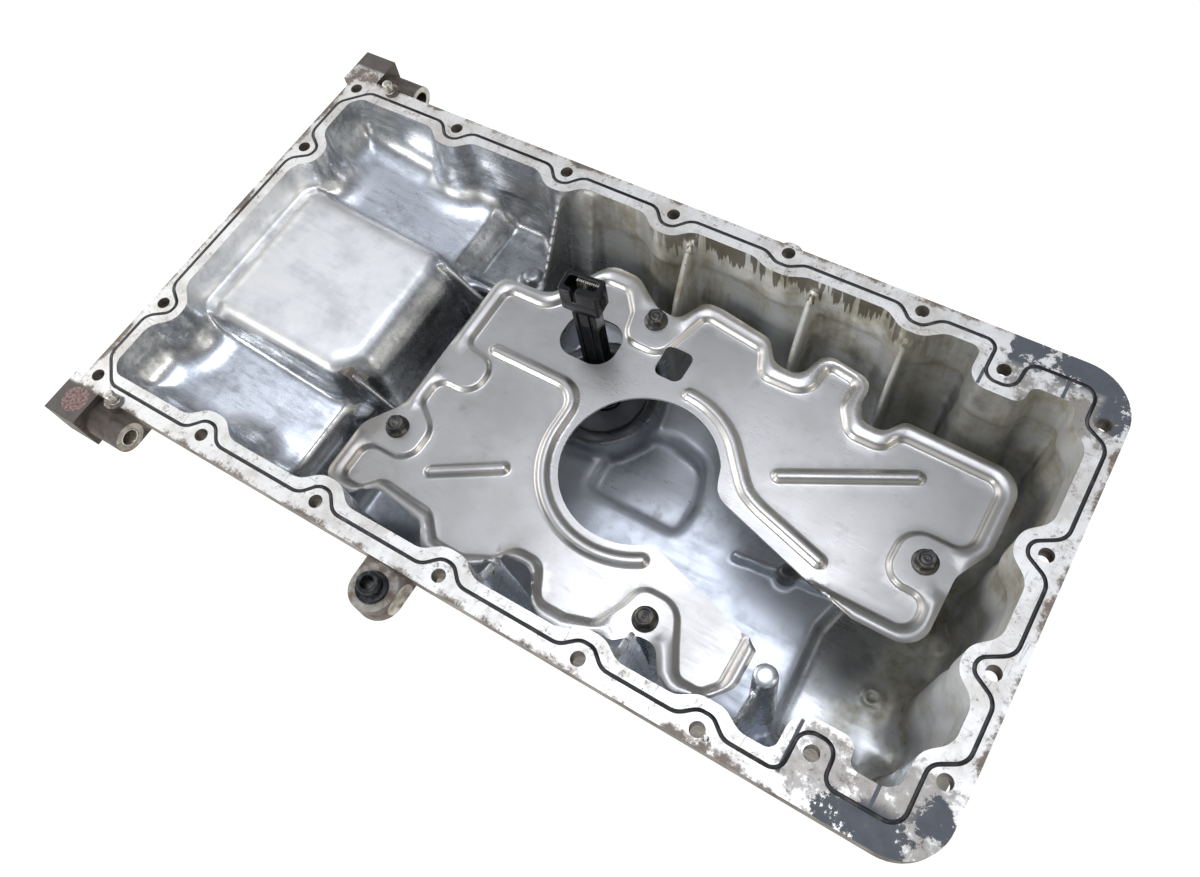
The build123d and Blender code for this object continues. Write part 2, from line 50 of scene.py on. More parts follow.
def linear(code):
    """Linear colour of an sRGB hex code."""
    parts = [int(code[i:i + 2], 16) / 255 for i in (1, 3, 5)]
    return tuple(c / 12.92 if c <= 0.04045 else ((c + 0.055) / 1.055) ** 2.4 for c in parts) + (1.0,)


def add(tree, kind, inputs=None, **settings):
    """New node with its settings and inputs; an input is a value or another node's output."""
    made = tree.nodes.new("ShaderNode" + kind)
    for key, value in settings.items():
        setattr(made, key, value)
    for key, value in (inputs or {}).items():
        if isinstance(value, bpy.types.NodeSocket):
            tree.links.new(value, made.inputs[key])
        else:
            made.inputs[key].default_value = value
    return made


def placed(name, data):
    """New object in the scene, made of this data; a bmesh is turned into a mesh and used up."""
    if isinstance(data, bmesh.types.BMesh):
        built, data = data, bpy.data.meshes.new(name)
        built.to_mesh(data)
        built.free()
    made = bpy.data.objects.new(name, data)
    scene.collection.objects.link(made)
    return made


camera = placed("camera", bpy.data.cameras.new("camera"))
camera.data.sensor_width = 36.0
camera.data.lens = 30.27
camera.location = (0.19514, -0.19480, 0.58555)
camera.rotation_euler = [math.radians(angle) for angle in (27.456, 6.53, 31.472)]
camera.data.clip_start = 0.05
camera.data.clip_end = 20.0
scene.camera = camera

world = bpy.data.worlds.new("white room")
scene.world = world
world.use_nodes = True
room = world.node_tree
room.nodes.clear()
direction = add(room, "TexCoord").outputs["Generated"]
glow = None
for way, shade, strength, narrow in [
        ((0.0, 0.0, 1.0), "#eaf1ff", 1.3, 10.0),  # ceiling
        ((0.0, 0.7, 0.7), "#f0f4ff", 0.45, 6.0),  # high on the far side
        ((-0.7, 0.0, 0.7), "#eef3ff", 0.14, 6.0),  # high on the left
        ((-1.0, 0.0, 0.15), "#ffffff", 3.6, 6.0),  # left wall
        ((0.0, -1.0, 0.15), "#fffdf8", 2.0, 6.0),  # near wall
        ((1.0, 0.0, 0.15), "#fffaf0", 1.1, 6.0),  # right wall
        ((0.0, 0.0, -1.0), "#ffffff", 1.3, 6.0)]:  # below, for views of the underside
    way = Vector(way).normalized()
    facing = add(room, "VectorMath", {0: direction, 1: way}, operation="DOT_PRODUCT").outputs["Value"]
    facing = add(room, "Math", {0: facing, 1: 0.0}, operation="MAXIMUM").outputs[0]
    facing = add(room, "Math", {0: facing, 1: narrow}, operation="POWER").outputs[0]
    facing = add(room, "Math", {0: facing, 1: strength}, operation="MULTIPLY").outputs[0]
    tinted = add(room, "Background", {"Color": linear(shade), "Strength": facing}).outputs[0]
    glow = tinted if glow is None else add(room, "AddShader", {0: glow, 1: tinted}).outputs[0]
seen = add(room, "Background", {"Color": linear("#ffffff"), "Strength": 1.0})
ray = add(room, "LightPath").outputs["Is Camera Ray"]
mixed = add(room, "MixShader", {0: ray, 1: glow, 2: seen.outputs[0]})
add(room, "OutputWorld", {"Surface": mixed.outputs[0]})

for name, place, size, power, colour in [
        ("window_lamp", (-0.06, 0.2, 1.5), 0.6, 4.0, "#f2f6ff"),
        ("left_lamp", (-0.7, -1.3, 1.0), 0.4, 5.0, "#ffffff"),
        ("right_lamp", (1.2, 0.1, 1.2), 0.4, 2.0, "#fffaf2")]:
    lamp = placed(name, bpy.data.lights.new(name, "AREA"))
    lamp.data.size = size
    lamp.data.energy = power
    lamp.data.color = linear(colour)[:3]
    lamp.location = place
    lamp.rotation_mode = "QUATERNION"
    lamp.rotation_quaternion = (Vector((0.0, 0.0, 0.1)) - Vector(place)).to_track_quat("-Z", "Y")

# Pan casting: one aluminium casting, its rim milled flat. The outside comes from the CAD part;
# the inside is a soft skin with filleted ribs, posts and hollows, set inside the same walls.


def rounded(corners, step=1.5):
    """Points along a closed outline whose corners (x, y, radius) are rounded as far as there is room."""
    points = []
    for here, before, after in zip(corners, corners[-1:] + corners[:-1], corners[1:] + corners[:1]):
        point = np.array(here[:2], float)
        if here[2] == 0:
            points.append(point)
            continue
        back = np.array(before[:2], float) - point
        ahead = np.array(after[:2], float) - point
        long_back, long_ahead = np.linalg.norm(back), np.linalg.norm(ahead)
        back, ahead = back / long_back, ahead / long_ahead
        half = math.acos(max(-1.0, min(1.0, float(back @ ahead)))) / 2
        run = min(here[2] / math.tan(half), 0.48 * min(long_back, long_ahead))
        radius = run * math.tan(half)
        inward = (back + ahead) / np.linalg.norm(back + ahead)
        centre = point + inward * radius / math.sin(half)
        first, last = point + back * run - centre, point + ahead * run - centre
        sweep = math.pi - 2 * half
        count = max(2, int(radius * sweep / step) + 1)
        turn = 1 if first[0] * last[1] - first[1] * last[0] > 0 else -1
        for i in range(count + 1):
            angle = turn * sweep * i / count
            points.append(centre + [first[0] * math.cos(angle) - first[1] * math.sin(angle),
                                    first[0] * math.sin(angle) + first[1] * math.cos(angle)])
    return np.array(points)


def swell(along, base, crest, flat, slope, radius):
    """Four corners of a bump that leaves a base line for a crest and comes back."""
    return [(along - flat - slope, base, radius), (along - flat, crest, radius),
            (along + flat, crest, radius), (along + flat + slope, base, radius)]


def rim_line(left, right, side, end_side, gap, cut, flat, slope):
    """Corners of a closed line inside the bolts of the rim, one gap away from every bolt hole."""
    def long_edge(sign, bolts, corner):
        run = [(left + cut, side, 8)]
        for x, y in bolts:
            run += swell(x, side, y - gap, flat, slope, 2 * flat)
        run += [(187.2 - gap, side, 5), (187.2 - gap, 107 - gap, 2 * flat),
                (187.2 + gap, 107 - gap, 2 * flat), (188.2 + gap, end_side, 5),
                (239.3 - gap, end_side, gap / 2 + 2),
                (239.3 - gap, corner - flat, 2 * flat), (right, corner - flat - slope, 2 * flat)]
        return [(x, sign * y, radius) for x, y, radius in run]

    end = []
    for along in (-37.7, 24.0):
        end += [(x, y, r) for y, x, r in swell(along, right, 239.3 - gap, flat, slope, 2 * flat)]
    start = [(left, -side + cut, 8)]
    for along in (-65.5, 66.0):
        start += [(x, y, r) for y, x, r in swell(along, left, -242.0 + gap, flat, slope, 2 * flat)]
    start += [(left, side - cut, 8)]
    far = long_edge(1, [(-162, 120.3), (-81.2, 120.3), (-9, 120.3), (60.5, 124.5), (138.3, 121.5)], 99.5)
    near = long_edge(-1, [(-162, 120.3), (-81.2, 120.3), (-1.8, 121.5), (78.5, 122.3), (140.5, 122.7)], 90)
    return near + end + far[::-1] + start[::-1]


def distance(points, x, y):
    """Distance from the closed polygon of these points, negative inside, at the places x, y."""
    x, y = np.broadcast_arrays(x, y)
    best = np.full(x.shape, 1e9, np.float32)
    inside = np.zeros(x.shape, bool)
    for (ax, ay), (bx, by) in zip(points, np.roll(points, -1, axis=0)):
        ex, ey = bx - ax, by - ay
        t = np.clip(((x - ax) * ex + (y - ay) * ey) / max(ex * ex + ey * ey, 1e-9), 0, 1)
        best = np.minimum(best, (x - ax - t * ex) ** 2 + (y - ay - t * ey) ** 2)
        crossing = (ay > y) != (by > y)
        if ay != by:
            inside ^= crossing & (x < (y - ay) * ex / ey + ax)
    return np.where(inside, -1, 1) * np.sqrt(best)


def join(a, b, soft):
    """Union of two solids with a fillet about this large."""
    mix = np.clip(0.5 + 0.5 * (b - a) / soft, 0, 1)
    return b + (a - b) * mix - soft * mix * (1 - mix)


def meet(a, b, soft):
    """What two solids share, with its edges rounded about this large."""
    return -join(-a, -b, soft)


def level(depth):
    """Height of a plane this far below the rim face."""
    return RIM - depth


# the inside as a field over a grid of cells: distance from the surface, negative inside the solid
CELL = 1.6
xs = np.arange(-246.0, 246.0, CELL, dtype=np.float32)[:, None, None]
ys = np.arange(-122.0, 122.0, CELL, dtype=np.float32)[None, :, None]
zs = np.arange(RIM + 1.5 * CELL, 0.0, -CELL, dtype=np.float32)[::-1][None, None, :]
opening = rim_line(left=-239.0, right=236.5, side=114.5, end_side=104.5, gap=14.3, cut=6.0, flat=6.0,
                   slope=10.0)
softer = [(x, y, 2.2 * radius + 4) for x, y, radius in opening]
sink = np.clip((RIM - 4 - zs) / 26, 0, 1)
wall = distance(rounded(opening), xs, ys)
wall = wall + (distance(rounded(softer), xs, ys) - wall) * sink
draft = math.radians(3.2)
side_wall = (wall + (RIM - zs) * math.tan(draft)) * math.cos(draft)


def below(points):
    """Solid under a profile of (x, z) points that runs along X, the same all over Y."""
    line = np.interp(xs, [p[0] for p in points], [p[1] for p in points])
    slope = np.gradient(line[:, 0, 0], CELL)[:, None, None]
    return (zs - line) / np.sqrt(1 + slope ** 2)


def rib_across(points, x, thick):
    """Upright rib across the pan: outline in (y, z), middle x and thickness."""
    return np.maximum(distance(np.array(points, float), ys, zs), np.abs(xs - x) - thick / 2)


def rib_along(points, y, thick):
    """Upright rib along the pan: outline in (x, z), middle y and thickness."""
    return np.maximum(distance(np.array(points, float), xs, zs), np.abs(ys - y) - thick / 2)


def post(x, y, top, radius, taper=0.02):
    """Round post that stands on the floor and narrows a little upwards."""
    spread = np.hypot(xs - x, ys - y) - radius - (top - zs) * taper
    return meet(spread, zs - top, 1.5)


# sump with its round well and its pocket, shallow trough and shelf, all as hollows
well = distance(rounded([(-7, -9, 9), (60.4, -9, 9), (60.4, 20, 20), (54, 41, 24), (26.7, 48, 26),
                         (0, 41, 24), (-7, 20, 20)]), xs, ys)
pocket = distance(rounded([(160, -97, 14), (240, -97, 14), (240, 32, 18), (170, 32, 18), (156, -18, 14)]),
                  xs, ys)
bottom = level(118) - zs + 0 * xs
bottom = join(bottom, meet(well + 2, 8 - zs, 4), 8)
bottom = join(bottom, meet(pocket + 1, 6 - zs, 7), 5)
sump = meet(side_wall, bottom, 22)
end_line = distance(rounded([(-128, -150, 1), (280, -150, 1), (280, 150, 1), (-78, 150, 1),
                             (-78, 59, 8), (-118, 52, 4), (-118, -52, 5), (-128, -58, 5)]), xs, ys)
sump = meet(sump, end_line + (level(40) - zs) * 0.04, 8)
sump = np.maximum(sump, zs - level(30))
trough_floor = below([(-280, 116), (-239, 109), (-134, 89), (-128, 84), (300, 84)])
trough = meet(side_wall, -trough_floor, 20)
shelf = meet(side_wall, -below([(-240, 120), (-136, 90), (-122, 76), (300, 76)]), 9)
shelf = meet(shelf, np.maximum(np.maximum(59 - ys, xs + 79), -136 - xs), 9)
hollow = join(join(trough, sump, 7), np.maximum(shelf, zs - level(36)), 5)
body = -hollow

# raised block of the shallow end with its ledge and the two ribs of its steep side
block_top = below([(-280, 131), (-239, 127), (-200, 123.5), (-132, 116.6), (-122, 113), (-100, 105)])
block_plan = rounded([(-230, -51, 9), (-139, -51, 8), (-119, -34, 8), (-119, 35, 8), (-130, 51, 8),
                      (-230, 51, 9)])
block_side = distance(block_plan, xs, ys) - (level(18) - zs) * 0.1
body = join(body, meet(block_top, block_side, 14), 7)
ledge = np.maximum(np.maximum(np.abs(ys) - 50, xs + 222), zs - level(20))
body = join(body, ledge, 6)
for side in (1, -1):
    steep = [(-126, level(22)), (-118, level(29)), (-84, level(60)), (-84, 10), (-126, 10)]
    body = join(body, rib_along(steep, side * 44, 3.4), 4)

# ribs across the long walls, then pillars for the plate, plain posts, the sensor's turret and the
# knob, ridge and ring mark of the floor
far_rib = [(119, 130), (108, 128), (105, 126), (82, 84), (78, 10), (119, 10)]
near_rib = [(-119, 128), (-107, 126), (-96, 122), (-90, 10), (-119, 10)]
far_ribs = (7, 82, 137)
near_ribs = (13, 90.5)
for x in far_ribs:
    body = join(body, rib_across(far_rib, x, 3.0), 5)
for x in near_ribs:
    body = join(body, rib_across(near_rib, x, 3.0), 5)
body = join(body, rib_across([(119, 133), (105, 131), (74, 84), (60, 76), (60, 10), (119, 10)], -78, 3.2), 4)
body = join(body, rib_across([(119, 133), (113, 133), (99.5, 76), (96, 10), (119, 10)], -67.5, 17), 4)
body = join(body, rib_across([(-119, 118), (-109, 116), (-86, 98), (-81, 10), (-119, 10)], 151, 3.4), 4)
pillars = [(2.5, 75.5), (-92.5, -54), (194, 12), (87, -82)]
for x, y in pillars:
    body = join(body, post(x, y, level(41.5), 7.6), 3)
body = join(body, post(153, -81, level(25), 6.2), 3)
body = join(body, post(-90, 78, 82, 5.5, 0.3), 3)
sensor = (-26, 48.7)
turret = np.hypot(xs - sensor[0], ys - sensor[1])
ring = np.maximum(turret - 38, zs - 32)
body = join(body, ring, 4)
body = -join(-body, np.maximum(turret - 28, 28 - zs), 2)
body = join(body, post(129, -2, 30, 5, 0.15), 3)
ridge = np.maximum(np.abs(ys + 2 - (xs - 129) * 0.11) - 2.0, np.abs(xs - 129) - 33)
body = join(body, np.maximum(ridge, zs - 25), 1.5)
body = join(body, np.maximum(np.abs(np.hypot(xs - 200, ys + 38) - 4) - 1, zs - 8.5), 2)


def skin(field, keep):
    """Vertices and quads of the surface where the field is zero, turned towards its positive side."""
    nx, ny, nz = field.shape
    inside = field < 0
    corners = [(a, b, c) for a in (0, 1) for b in (0, 1) for c in (0, 1)]
    count = sum(inside[a:nx - 1 + a, b:ny - 1 + b, c:nz - 1 + c].astype(np.int8) for a, b, c in corners)
    cells = np.argwhere((count > 0) & (count < 8))
    number = np.full((nx - 1, ny - 1, nz - 1), -1, np.int32)
    number[tuple(cells.T)] = np.arange(len(cells))
    total = np.zeros((len(cells), 3))
    hits = np.zeros(len(cells))
    for axis in range(3):
        for low in corners:
            if low[axis]:
                continue
            high = list(low)
            high[axis] = 1
            a = field[tuple((cells + low).T)]
            b = field[tuple((cells + high).T)]
            cross = (a < 0) != (b < 0)
            t = np.where(cross, a / np.where(cross, a - b, 1), 0)
            at = np.repeat(np.array(low, float)[None], len(cells), 0)
            at[:, axis] += t
            total[cross] += at[cross]
            hits[cross] += 1
    spots = cells + total / hits[:, None]
    spots = np.stack([xs[0, 0, 0] + spots[:, 0] * CELL, ys[0, 0, 0] + spots[:, 1] * CELL,
                      zs[0, 0, 0] + spots[:, 2] * CELL], 1)
    quads = []
    for axis in range(3):
        step = np.eye(3, dtype=int)
        others = [i for i in range(3) if i != axis]
        size = [field.shape[i] - (1 if i == axis else 0) for i in range(3)]
        a = inside[:size[0], :size[1], :size[2]]
        b = inside[tuple(slice(1, None) if i == axis else slice(None) for i in range(3))]
        edges = np.argwhere(a != b)
        edges = edges[(edges[:, others] > 0).all(1)]
        edges = edges[[all(e[i] < field.shape[i] - 1 for i in others) for e in edges]]
        u, v = step[others[0]], step[others[1]]
        ring = [number[tuple((edges - move).T)] for move in (0 * u, u, u + v, v)]
        ring = np.stack(ring, 1)
        flip = a[tuple(edges.T)] ^ (axis == 1)
        ring[~flip] = ring[~flip][:, ::-1]
        quads.append(ring)
    quads = np.concatenate(quads)
    quads = quads[(quads >= 0).all(1)]
    quads = quads[keep(spots)[quads].all(1)]
    return spots, quads


def mesh_of(name, points, faces):
    """Mesh from points in millimetres and faces of one length."""
    used = np.unique(faces)
    place = np.full(len(points), -1)
    place[used] = np.arange(len(used))
    faces = place[faces]
    mesh = bpy.data.meshes.new(name)
    mesh.vertices.add(len(used))
    mesh.vertices.foreach_set("co", (points[used] * MM).astype(np.float32).ravel())
    mesh.loops.add(faces.size)
    mesh.loops.foreach_set("vertex_index", faces.astype(np.int32).ravel())
    mesh.polygons.add(len(faces))
    mesh.polygons.foreach_set("loop_start", np.arange(0, faces.size, faces.shape[1], dtype=np.int32))
    mesh.update(calc_edges=True)
    return mesh


def smoothed(points, faces, rounds):
    """Points moved towards and away from their neighbours in turn, all but those at the rim."""
    here = np.concatenate([faces.ravel(), np.roll(faces, -1, axis=1).ravel()])
    there = np.concatenate([np.roll(faces, -1, axis=1).ravel(), faces.ravel()])
    count = np.maximum(np.bincount(here, minlength=len(points)), 1)[:, None]
    free = points[:, 2:] < RIM - 2
    for i in range(rounds):
        total = np.stack([np.bincount(here, points[there, k], len(points)) for k in range(3)], 1)
        points = points + np.where(free, (total / count - points) * (0.6, -0.62)[i % 2], 0)
    return points


def crest(points, x, thick):
    """Rounded edge of a rib across the pan: its outline in (y, z), middle x and thickness."""
    line, root = np.array(points[:-1], float), np.array(points[-1], float)
    for i in range(3):
        early, late = line[:-1] * 0.75 + line[1:] * 0.25, line[:-1] * 0.25 + line[1:] * 0.75
        line = np.concatenate([line[:1], np.stack([early, late], 1).reshape(-1, 2), line[-1:]])
    along = np.gradient(line, axis=0)
    out = np.stack([along[:, 1], -along[:, 0]], 1) / np.linalg.norm(along, axis=1)[:, None]
    out = out * np.sign(((line.mean(0) - root) * out.mean(0)).sum())
    turn = np.linspace(0, math.pi, 9)
    half = thick / 2
    round_top = [(-half * math.cos(a), half * (math.sin(a) - 1) + 0.3) for a in turn]
    side = [(-half, -6.0)] + round_top + [(half, -6.0)]
    rows = [[(x + s, *(place + normal * h)) for s, h in side] for place, normal in zip(line, out)]
    count = len(side)
    faces = [[i * count + j, i * count + j + 1, (i + 1) * count + j + 1, (i + 1) * count + j]
             for i in range(len(rows) - 1) for j in range(count - 1)]
    return mesh_of("crest", np.array(rows, float).reshape(-1, 3), np.array(faces))


spots, quads = skin(body, lambda p: p[:, 2] < RIM + 0.9 * CELL)
spots[:, 2] = np.minimum(spots[:, 2], RIM)
lid = (spots[quads][:, :, 2] >= RIM - 1e-4).all(1)
spots = smoothed(spots, quads[~lid], 8)
inside_mesh = mesh_of("inside", spots, quads[~lid])
inside_part = placed("inside", inside_mesh)
thin = inside_part.modifiers.new("thin", "DECIMATE")
thin.ratio = min(1.0, 130000 / max(1, len(inside_mesh.polygons) * 2))
shape = bpy.data.meshes.new_from_object(inside_part.evaluated_get(bpy.context.evaluated_depsgraph_get()))
bpy.data.objects.remove(inside_part)

pan_mesh = bmesh.new()
pan_mesh.from_mesh(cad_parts["pan_casting"].data)
bmesh.ops.remove_doubles(pan_mesh, verts=pan_mesh.verts, dist=1e-6)
pan_mesh.normal_update()


def field_at(point):
    """Value of the inner surface's field at a point in metres, far below zero outside its grid."""
    spot = np.array(point) / MM
    index = np.round((spot - [xs[0, 0, 0], ys[0, 0, 0], zs[0, 0, 0]]) / CELL).astype(int)
    if (index < 0).any() or (index >= body.shape).any():
        return -99.0
    return body[tuple(index)]


UNDER_BLOCK = 108  # height of the roof of the hollow under the raised block


def is_hidden(face):
    """Whether a face of the CAD casting lies on the inside, which the soft skin takes over."""
    middle = face.calc_center_median()
    x, y, z = middle / MM
    on_rim = all(vert.co.z > RIM * MM - 1e-5 for vert in face.verts)
    under_block = x < -130 and abs(y) < 50 and z < UNDER_BLOCK
    if on_rim or under_block or face.normal.z < -0.5:
        return False
    return max(field_at(place) for place in [middle] + [vert.co for vert in face.verts]) > -1.6


# the outer faces are kept; at the left end the roof under the block comes down below the soft ledge
bmesh.ops.delete(pan_mesh, geom=[face for face in pan_mesh.faces if is_hidden(face)], context="FACES")
for vert in pan_mesh.verts:
    x, y, z = vert.co / MM
    if x < -205 and abs(y) < 50 and UNDER_BLOCK < z < 125:
        vert.co.z = UNDER_BLOCK * MM
for face in pan_mesh.faces:
    face.smooth = True
    face.material_index = 0 if face.calc_center_median().z > RIM * MM - 1e-5 else 2
outer_faces = set(pan_mesh.faces)
pan_mesh.from_mesh(shape)
for x in far_ribs:
    pan_mesh.from_mesh(crest(far_rib, x, 3.4))
for x in near_ribs:
    pan_mesh.from_mesh(crest(near_rib, x, 3.4))
for face in set(pan_mesh.faces) - outer_faces:
    face.smooth = True
    face.material_index = 1
for edge in pan_mesh.edges:
    if edge.link_faces and edge.link_faces[0].material_index != 1 and edge.calc_face_angle(4) > 0.6:
        edge.smooth = False
cast_pan = placed("cast_pan", pan_mesh)
pins = [(-222, -127.5), (-221, 128)]  # locating pins, each with a painted shadow beside it on the rim


def material(name):
    """New node material: its shader and its place in millimetres on the object."""
    made = bpy.data.materials.new(name)
    made.use_nodes = True
    tree = made.node_tree
    shader = tree.nodes["Principled BSDF"]
    place = add(tree, "TexCoord").outputs["Object"]
    scale = (1 / MM, 1 / MM, 1 / MM)
    place = add(tree, "VectorMath", {0: place, 1: scale}, operation="MULTIPLY").outputs[0]
    return made, shader, place


def axes(place):
    """X, Y and Z of a place."""
    return add(place.id_data, "SeparateXYZ", {0: place}).outputs


def noise(place, size, detail=4.0, stretch=(1, 1, 1), rough=0.55):
    """Noise whose blobs are about this many millimetres across."""
    scale = tuple(v / size for v in stretch)
    tree = place.id_data
    scaled = add(tree, "VectorMath", {0: place, 1: scale}, operation="MULTIPLY").outputs[0]
    inputs = {"Vector": scaled, "Scale": 1.0, "Detail": detail, "Roughness": rough}
    return add(tree, "TexNoise", inputs).outputs["Fac"]


def ramp(value, low, high, bottom=0.0, top=1.0):
    """Value remapped from low..high to bottom..top, clamped and smooth."""
    inputs = {"Value": value, "From Min": low, "From Max": high, "To Min": bottom, "To Max": top}
    return add(value.id_data, "MapRange", inputs, interpolation_type="SMOOTHSTEP").outputs[0]


def maths(operation, value, *others):
    """Sum, product, maximum and so on of values, taken in turn."""
    tree = next(v.id_data for v in (value, *others) if isinstance(v, bpy.types.NodeSocket))
    for other in others or (0.0,):
        value = add(tree, "Math", {0: value, 1: other}, operation=operation).outputs[0]
    return value


def times(*values):
    """Product of values."""
    return maths("MULTIPLY", *values)


def plus(*values):
    """Sum of values."""
    return maths("ADD", *values)


def most(*values):
    """Largest of values."""
    return maths("MAXIMUM", *values)


def torn(value, grain, size):
    """Value roughened both ways by a noise, this much."""
    return plus(value, times(maths("SUBTRACT", grain, 0.5), size))


def blend(factor, first, second):
    """Colour between two colours or colour outputs."""
    return add(factor.id_data, "Mix", {0: factor, 6: first, 7: second}, data_type="RGBA").outputs[2]


def bump(height, strength, depth):
    """Surface normal from a height in millimetres times depth."""
    inputs = {"Height": height, "Strength": strength, "Distance": depth * MM}
    return add(height.id_data, "Bump", inputs).outputs[0]


def plug(output, shader, name):
    """Link from a node's output to the shader's input of this name."""
    output.id_data.links.new(output, shader.inputs[name])


def around(place, x, y, near, far):
    """One within near mm of an upright line at x, y, fading to nothing at far mm."""
    tree = place.id_data
    flat_place = add(tree, "VectorMath", {0: place, 1: (1.0, 1.0, 0.0)}, operation="MULTIPLY").outputs[0]
    spot = (x, y, 0.0)
    away = add(tree, "VectorMath", {0: flat_place, 1: spot}, operation="DISTANCE").outputs["Value"]
    return ramp(away, near, far, 1.0, 0.0)


# milled rim: near-white scratched aluminium, brown and grey stains, rusty outer edges, and what is
# left of an older coat of sealing compound at the two right corners
milled, shader, place = material("milled_aluminium")
px, py, pz = axes(place)
scratches = noise(place, 1.3, 3, (0.1, 1, 1))
crossed = noise(place, 1.1, 2, (1, 0.07, 1))
blotches = noise(place, 22, 9, rough=0.68)
mottle = noise(place, 6, 9, rough=0.75)
specks = noise(place, 1.6, 5, rough=0.7)
colour = blend(ramp(blotches, 0.4, 0.6), linear("#f4f3f0"), linear("#dad6cf"))
colour = blend(ramp(mottle, 0.52, 0.7, 0, 0.6), colour, linear("#a59e95"))
dots = ramp(times(mottle, specks), 0.31, 0.38, 0, 0.7)
colour = blend(dots, colour, linear("#5f574e"))
marks = ramp(most(scratches, crossed), 0.66, 0.76, 0, 0.45)
colour = blend(marks, colour, linear("#6f6a63"))
end_edge = maths("SUBTRACT", maths("ABSOLUTE", px), 120.5)
edge = most(maths("ABSOLUTE", py), end_edge)
rust = torn(ramp(edge, 121, 130), blotches, 3.2)
rust = ramp(torn(rust, specks, 0.8), 0.75, 1.15)
colour = blend(times(rust, 0.85), colour, linear("#5b493b"))


def coat(spots, grain, low, high):
    """Flaky coat over round spots (x, y, near, far), torn by a noise about this strong."""
    cover = most(*[around(place, *spot) for spot in spots])
    cover = torn(torn(cover, mottle, grain), blotches, grain)
    return ramp(cover, low, high)


film = coat([(200, 117, 10, 36), (232, 96, 4, 24), (190, -112, 8, 26), (232, -112, 14, 40)], 2.4, 0.5, 0.9)
colour = blend(times(film, 0.7), colour, linear("#7b746c"))
solid = coat([(196, 123, 8, 24), (212, 122, 8, 20), (232, 118, 10, 26), (243, 106, 4, 18),
              (204, -126, 4, 18), (224, -124, 7, 24), (243, -106, 3, 18)], 3.0, 0.66, 0.72)
solid = times(solid, ramp(edge, 109, 116))
for x, low, high in [(178.5, 94, 104), (217, 103, 117), (178, -121, -96), (217, -118, -104)]:
    strip = ramp(maths("ABSOLUTE", maths("SUBTRACT", px, x)), 0.7, 1.0, 1, 0)
    inner = ramp(py, low - 0.5, low + 0.5)
    outer = ramp(py, high - 0.5, high + 0.5, 1, 0)
    solid = most(solid, times(strip, times(inner, outer)))
colour = blend(solid, colour, blend(mottle, linear("#5d626c"), linear("#43464d")))
near_ear = times(ramp(py, -128.5, -131), ramp(px, -229, -232))
raw = most(ramp(py, 136.5, 139.5), near_ear)
colour = blend(raw, colour, blend(mottle, linear("#6a625b"), linear("#3f3a36")))
disc = torn(around(place, -243, -138, 6.5, 9.5), mottle, 1.0)
primer = blend(ramp(specks, 0.4, 0.6), linear("#9a807a"), linear("#5f443c"))
colour = blend(ramp(disc, 0.45, 0.6), colour, primer)
# painted shadow: a dark patch beside each pin, shifted towards +X, is laid on the rim's colour
for x, y in pins:
    pin_shadow = torn(around(place, x + 3, y - 0.5, 3, 7), mottle, 1.6)
    colour = blend(ramp(pin_shadow, 0.5, 0.8, 0, 0.85), colour, linear("#4a433c"))
plug(colour, shader, "Base Color")
covered = most(solid, raw, times(rust, 0.6))
bared = maths("SUBTRACT", 1.0, covered)
plug(times(bared, 0.7), shader, "Metallic")
gloss = plus(ramp(mottle, 0.3, 0.7, 0.32, 0.5), times(covered, 0.15))
plug(gloss, shader, "Roughness")
relief = plus(times(scratches, 0.6), times(specks, 0.6), times(solid, 1.5))
plug(bump(relief, 0.5, 0.15), shader, "Normal")

# cast inside: satin grey skin with darker clouds and streaks, brown oil varnish low in the sump and
# on the right, and drips that ran down under the far edge
inside, shader, place = material("cast_aluminium_inside")
px, py, pz = axes(place)
broad = noise(place, 70, 4)
cloud = noise(place, 24, 7, rough=0.62)
fine = noise(place, 5, 6, rough=0.65)
streak = noise(place, 6, 6, (1, 1, 0.09), rough=0.6)
rubbed = noise(place, 4, 6, (0.12, 1, 1), rough=0.6)
drips = noise(place, 3.4, 2, (1, 1, 0.05))
worn = plus(times(rubbed, 0.5), times(cloud, 0.5))
colour = blend(ramp(broad, 0.35, 0.65), linear("#eceef1"), linear("#cdd1d6"))
colour = blend(ramp(cloud, 0.45, 0.72, 0, 0.5), colour, linear("#9c9fa4"))
colour = blend(ramp(rubbed, 0.5, 0.75, 0, 0.4), colour, linear("#8b8e93"))
spots = ramp(times(fine, cloud), 0.3, 0.42, 0, 0.5)
colour = blend(spots, colour, linear("#706d66"))
shallow = times(ramp(px, -110, -125), ramp(worn, 0.42, 0.62, 0, 0.42))
colour = blend(shallow, colour, linear("#7f8286"))

# tarnished far wall and right end, oil in the puddles of the sump, and painted shade in the corners under
# the plate, on the step wall under its left edge, on the knob and low on the walls
far_wall = times(ramp(py, 55, 90), ramp(px, -90, -30))
walls = most(far_wall, ramp(px, 150, 200))
walls = times(walls, ramp(py, -75, -40, 0.35, 1))
haze = plus(times(streak, 0.25), times(cloud, 0.75))
colour = blend(times(walls, ramp(haze, 0.42, 0.6, 0.35, 1)), colour, linear("#d2cebf"))
haze = plus(times(streak, 0.3), times(cloud, 0.7))
colour = blend(times(walls, ramp(haze, 0.46, 0.68, 0, 0.7)), colour, linear("#7a745f"))
low_down = ramp(pz, 45, 25)
for *spot, strength in [(66, 8, 3, 13, 0.7), (112, 6, 6, 34, 0.5), (170, -30, 10, 42, 0.3)]:
    puddle = torn(around(place, *spot), fine, 1.2)
    puddle = times(ramp(puddle, 0.3, 0.8, 0, strength), low_down)
    colour = blend(puddle, colour, linear("#4e4a41"))
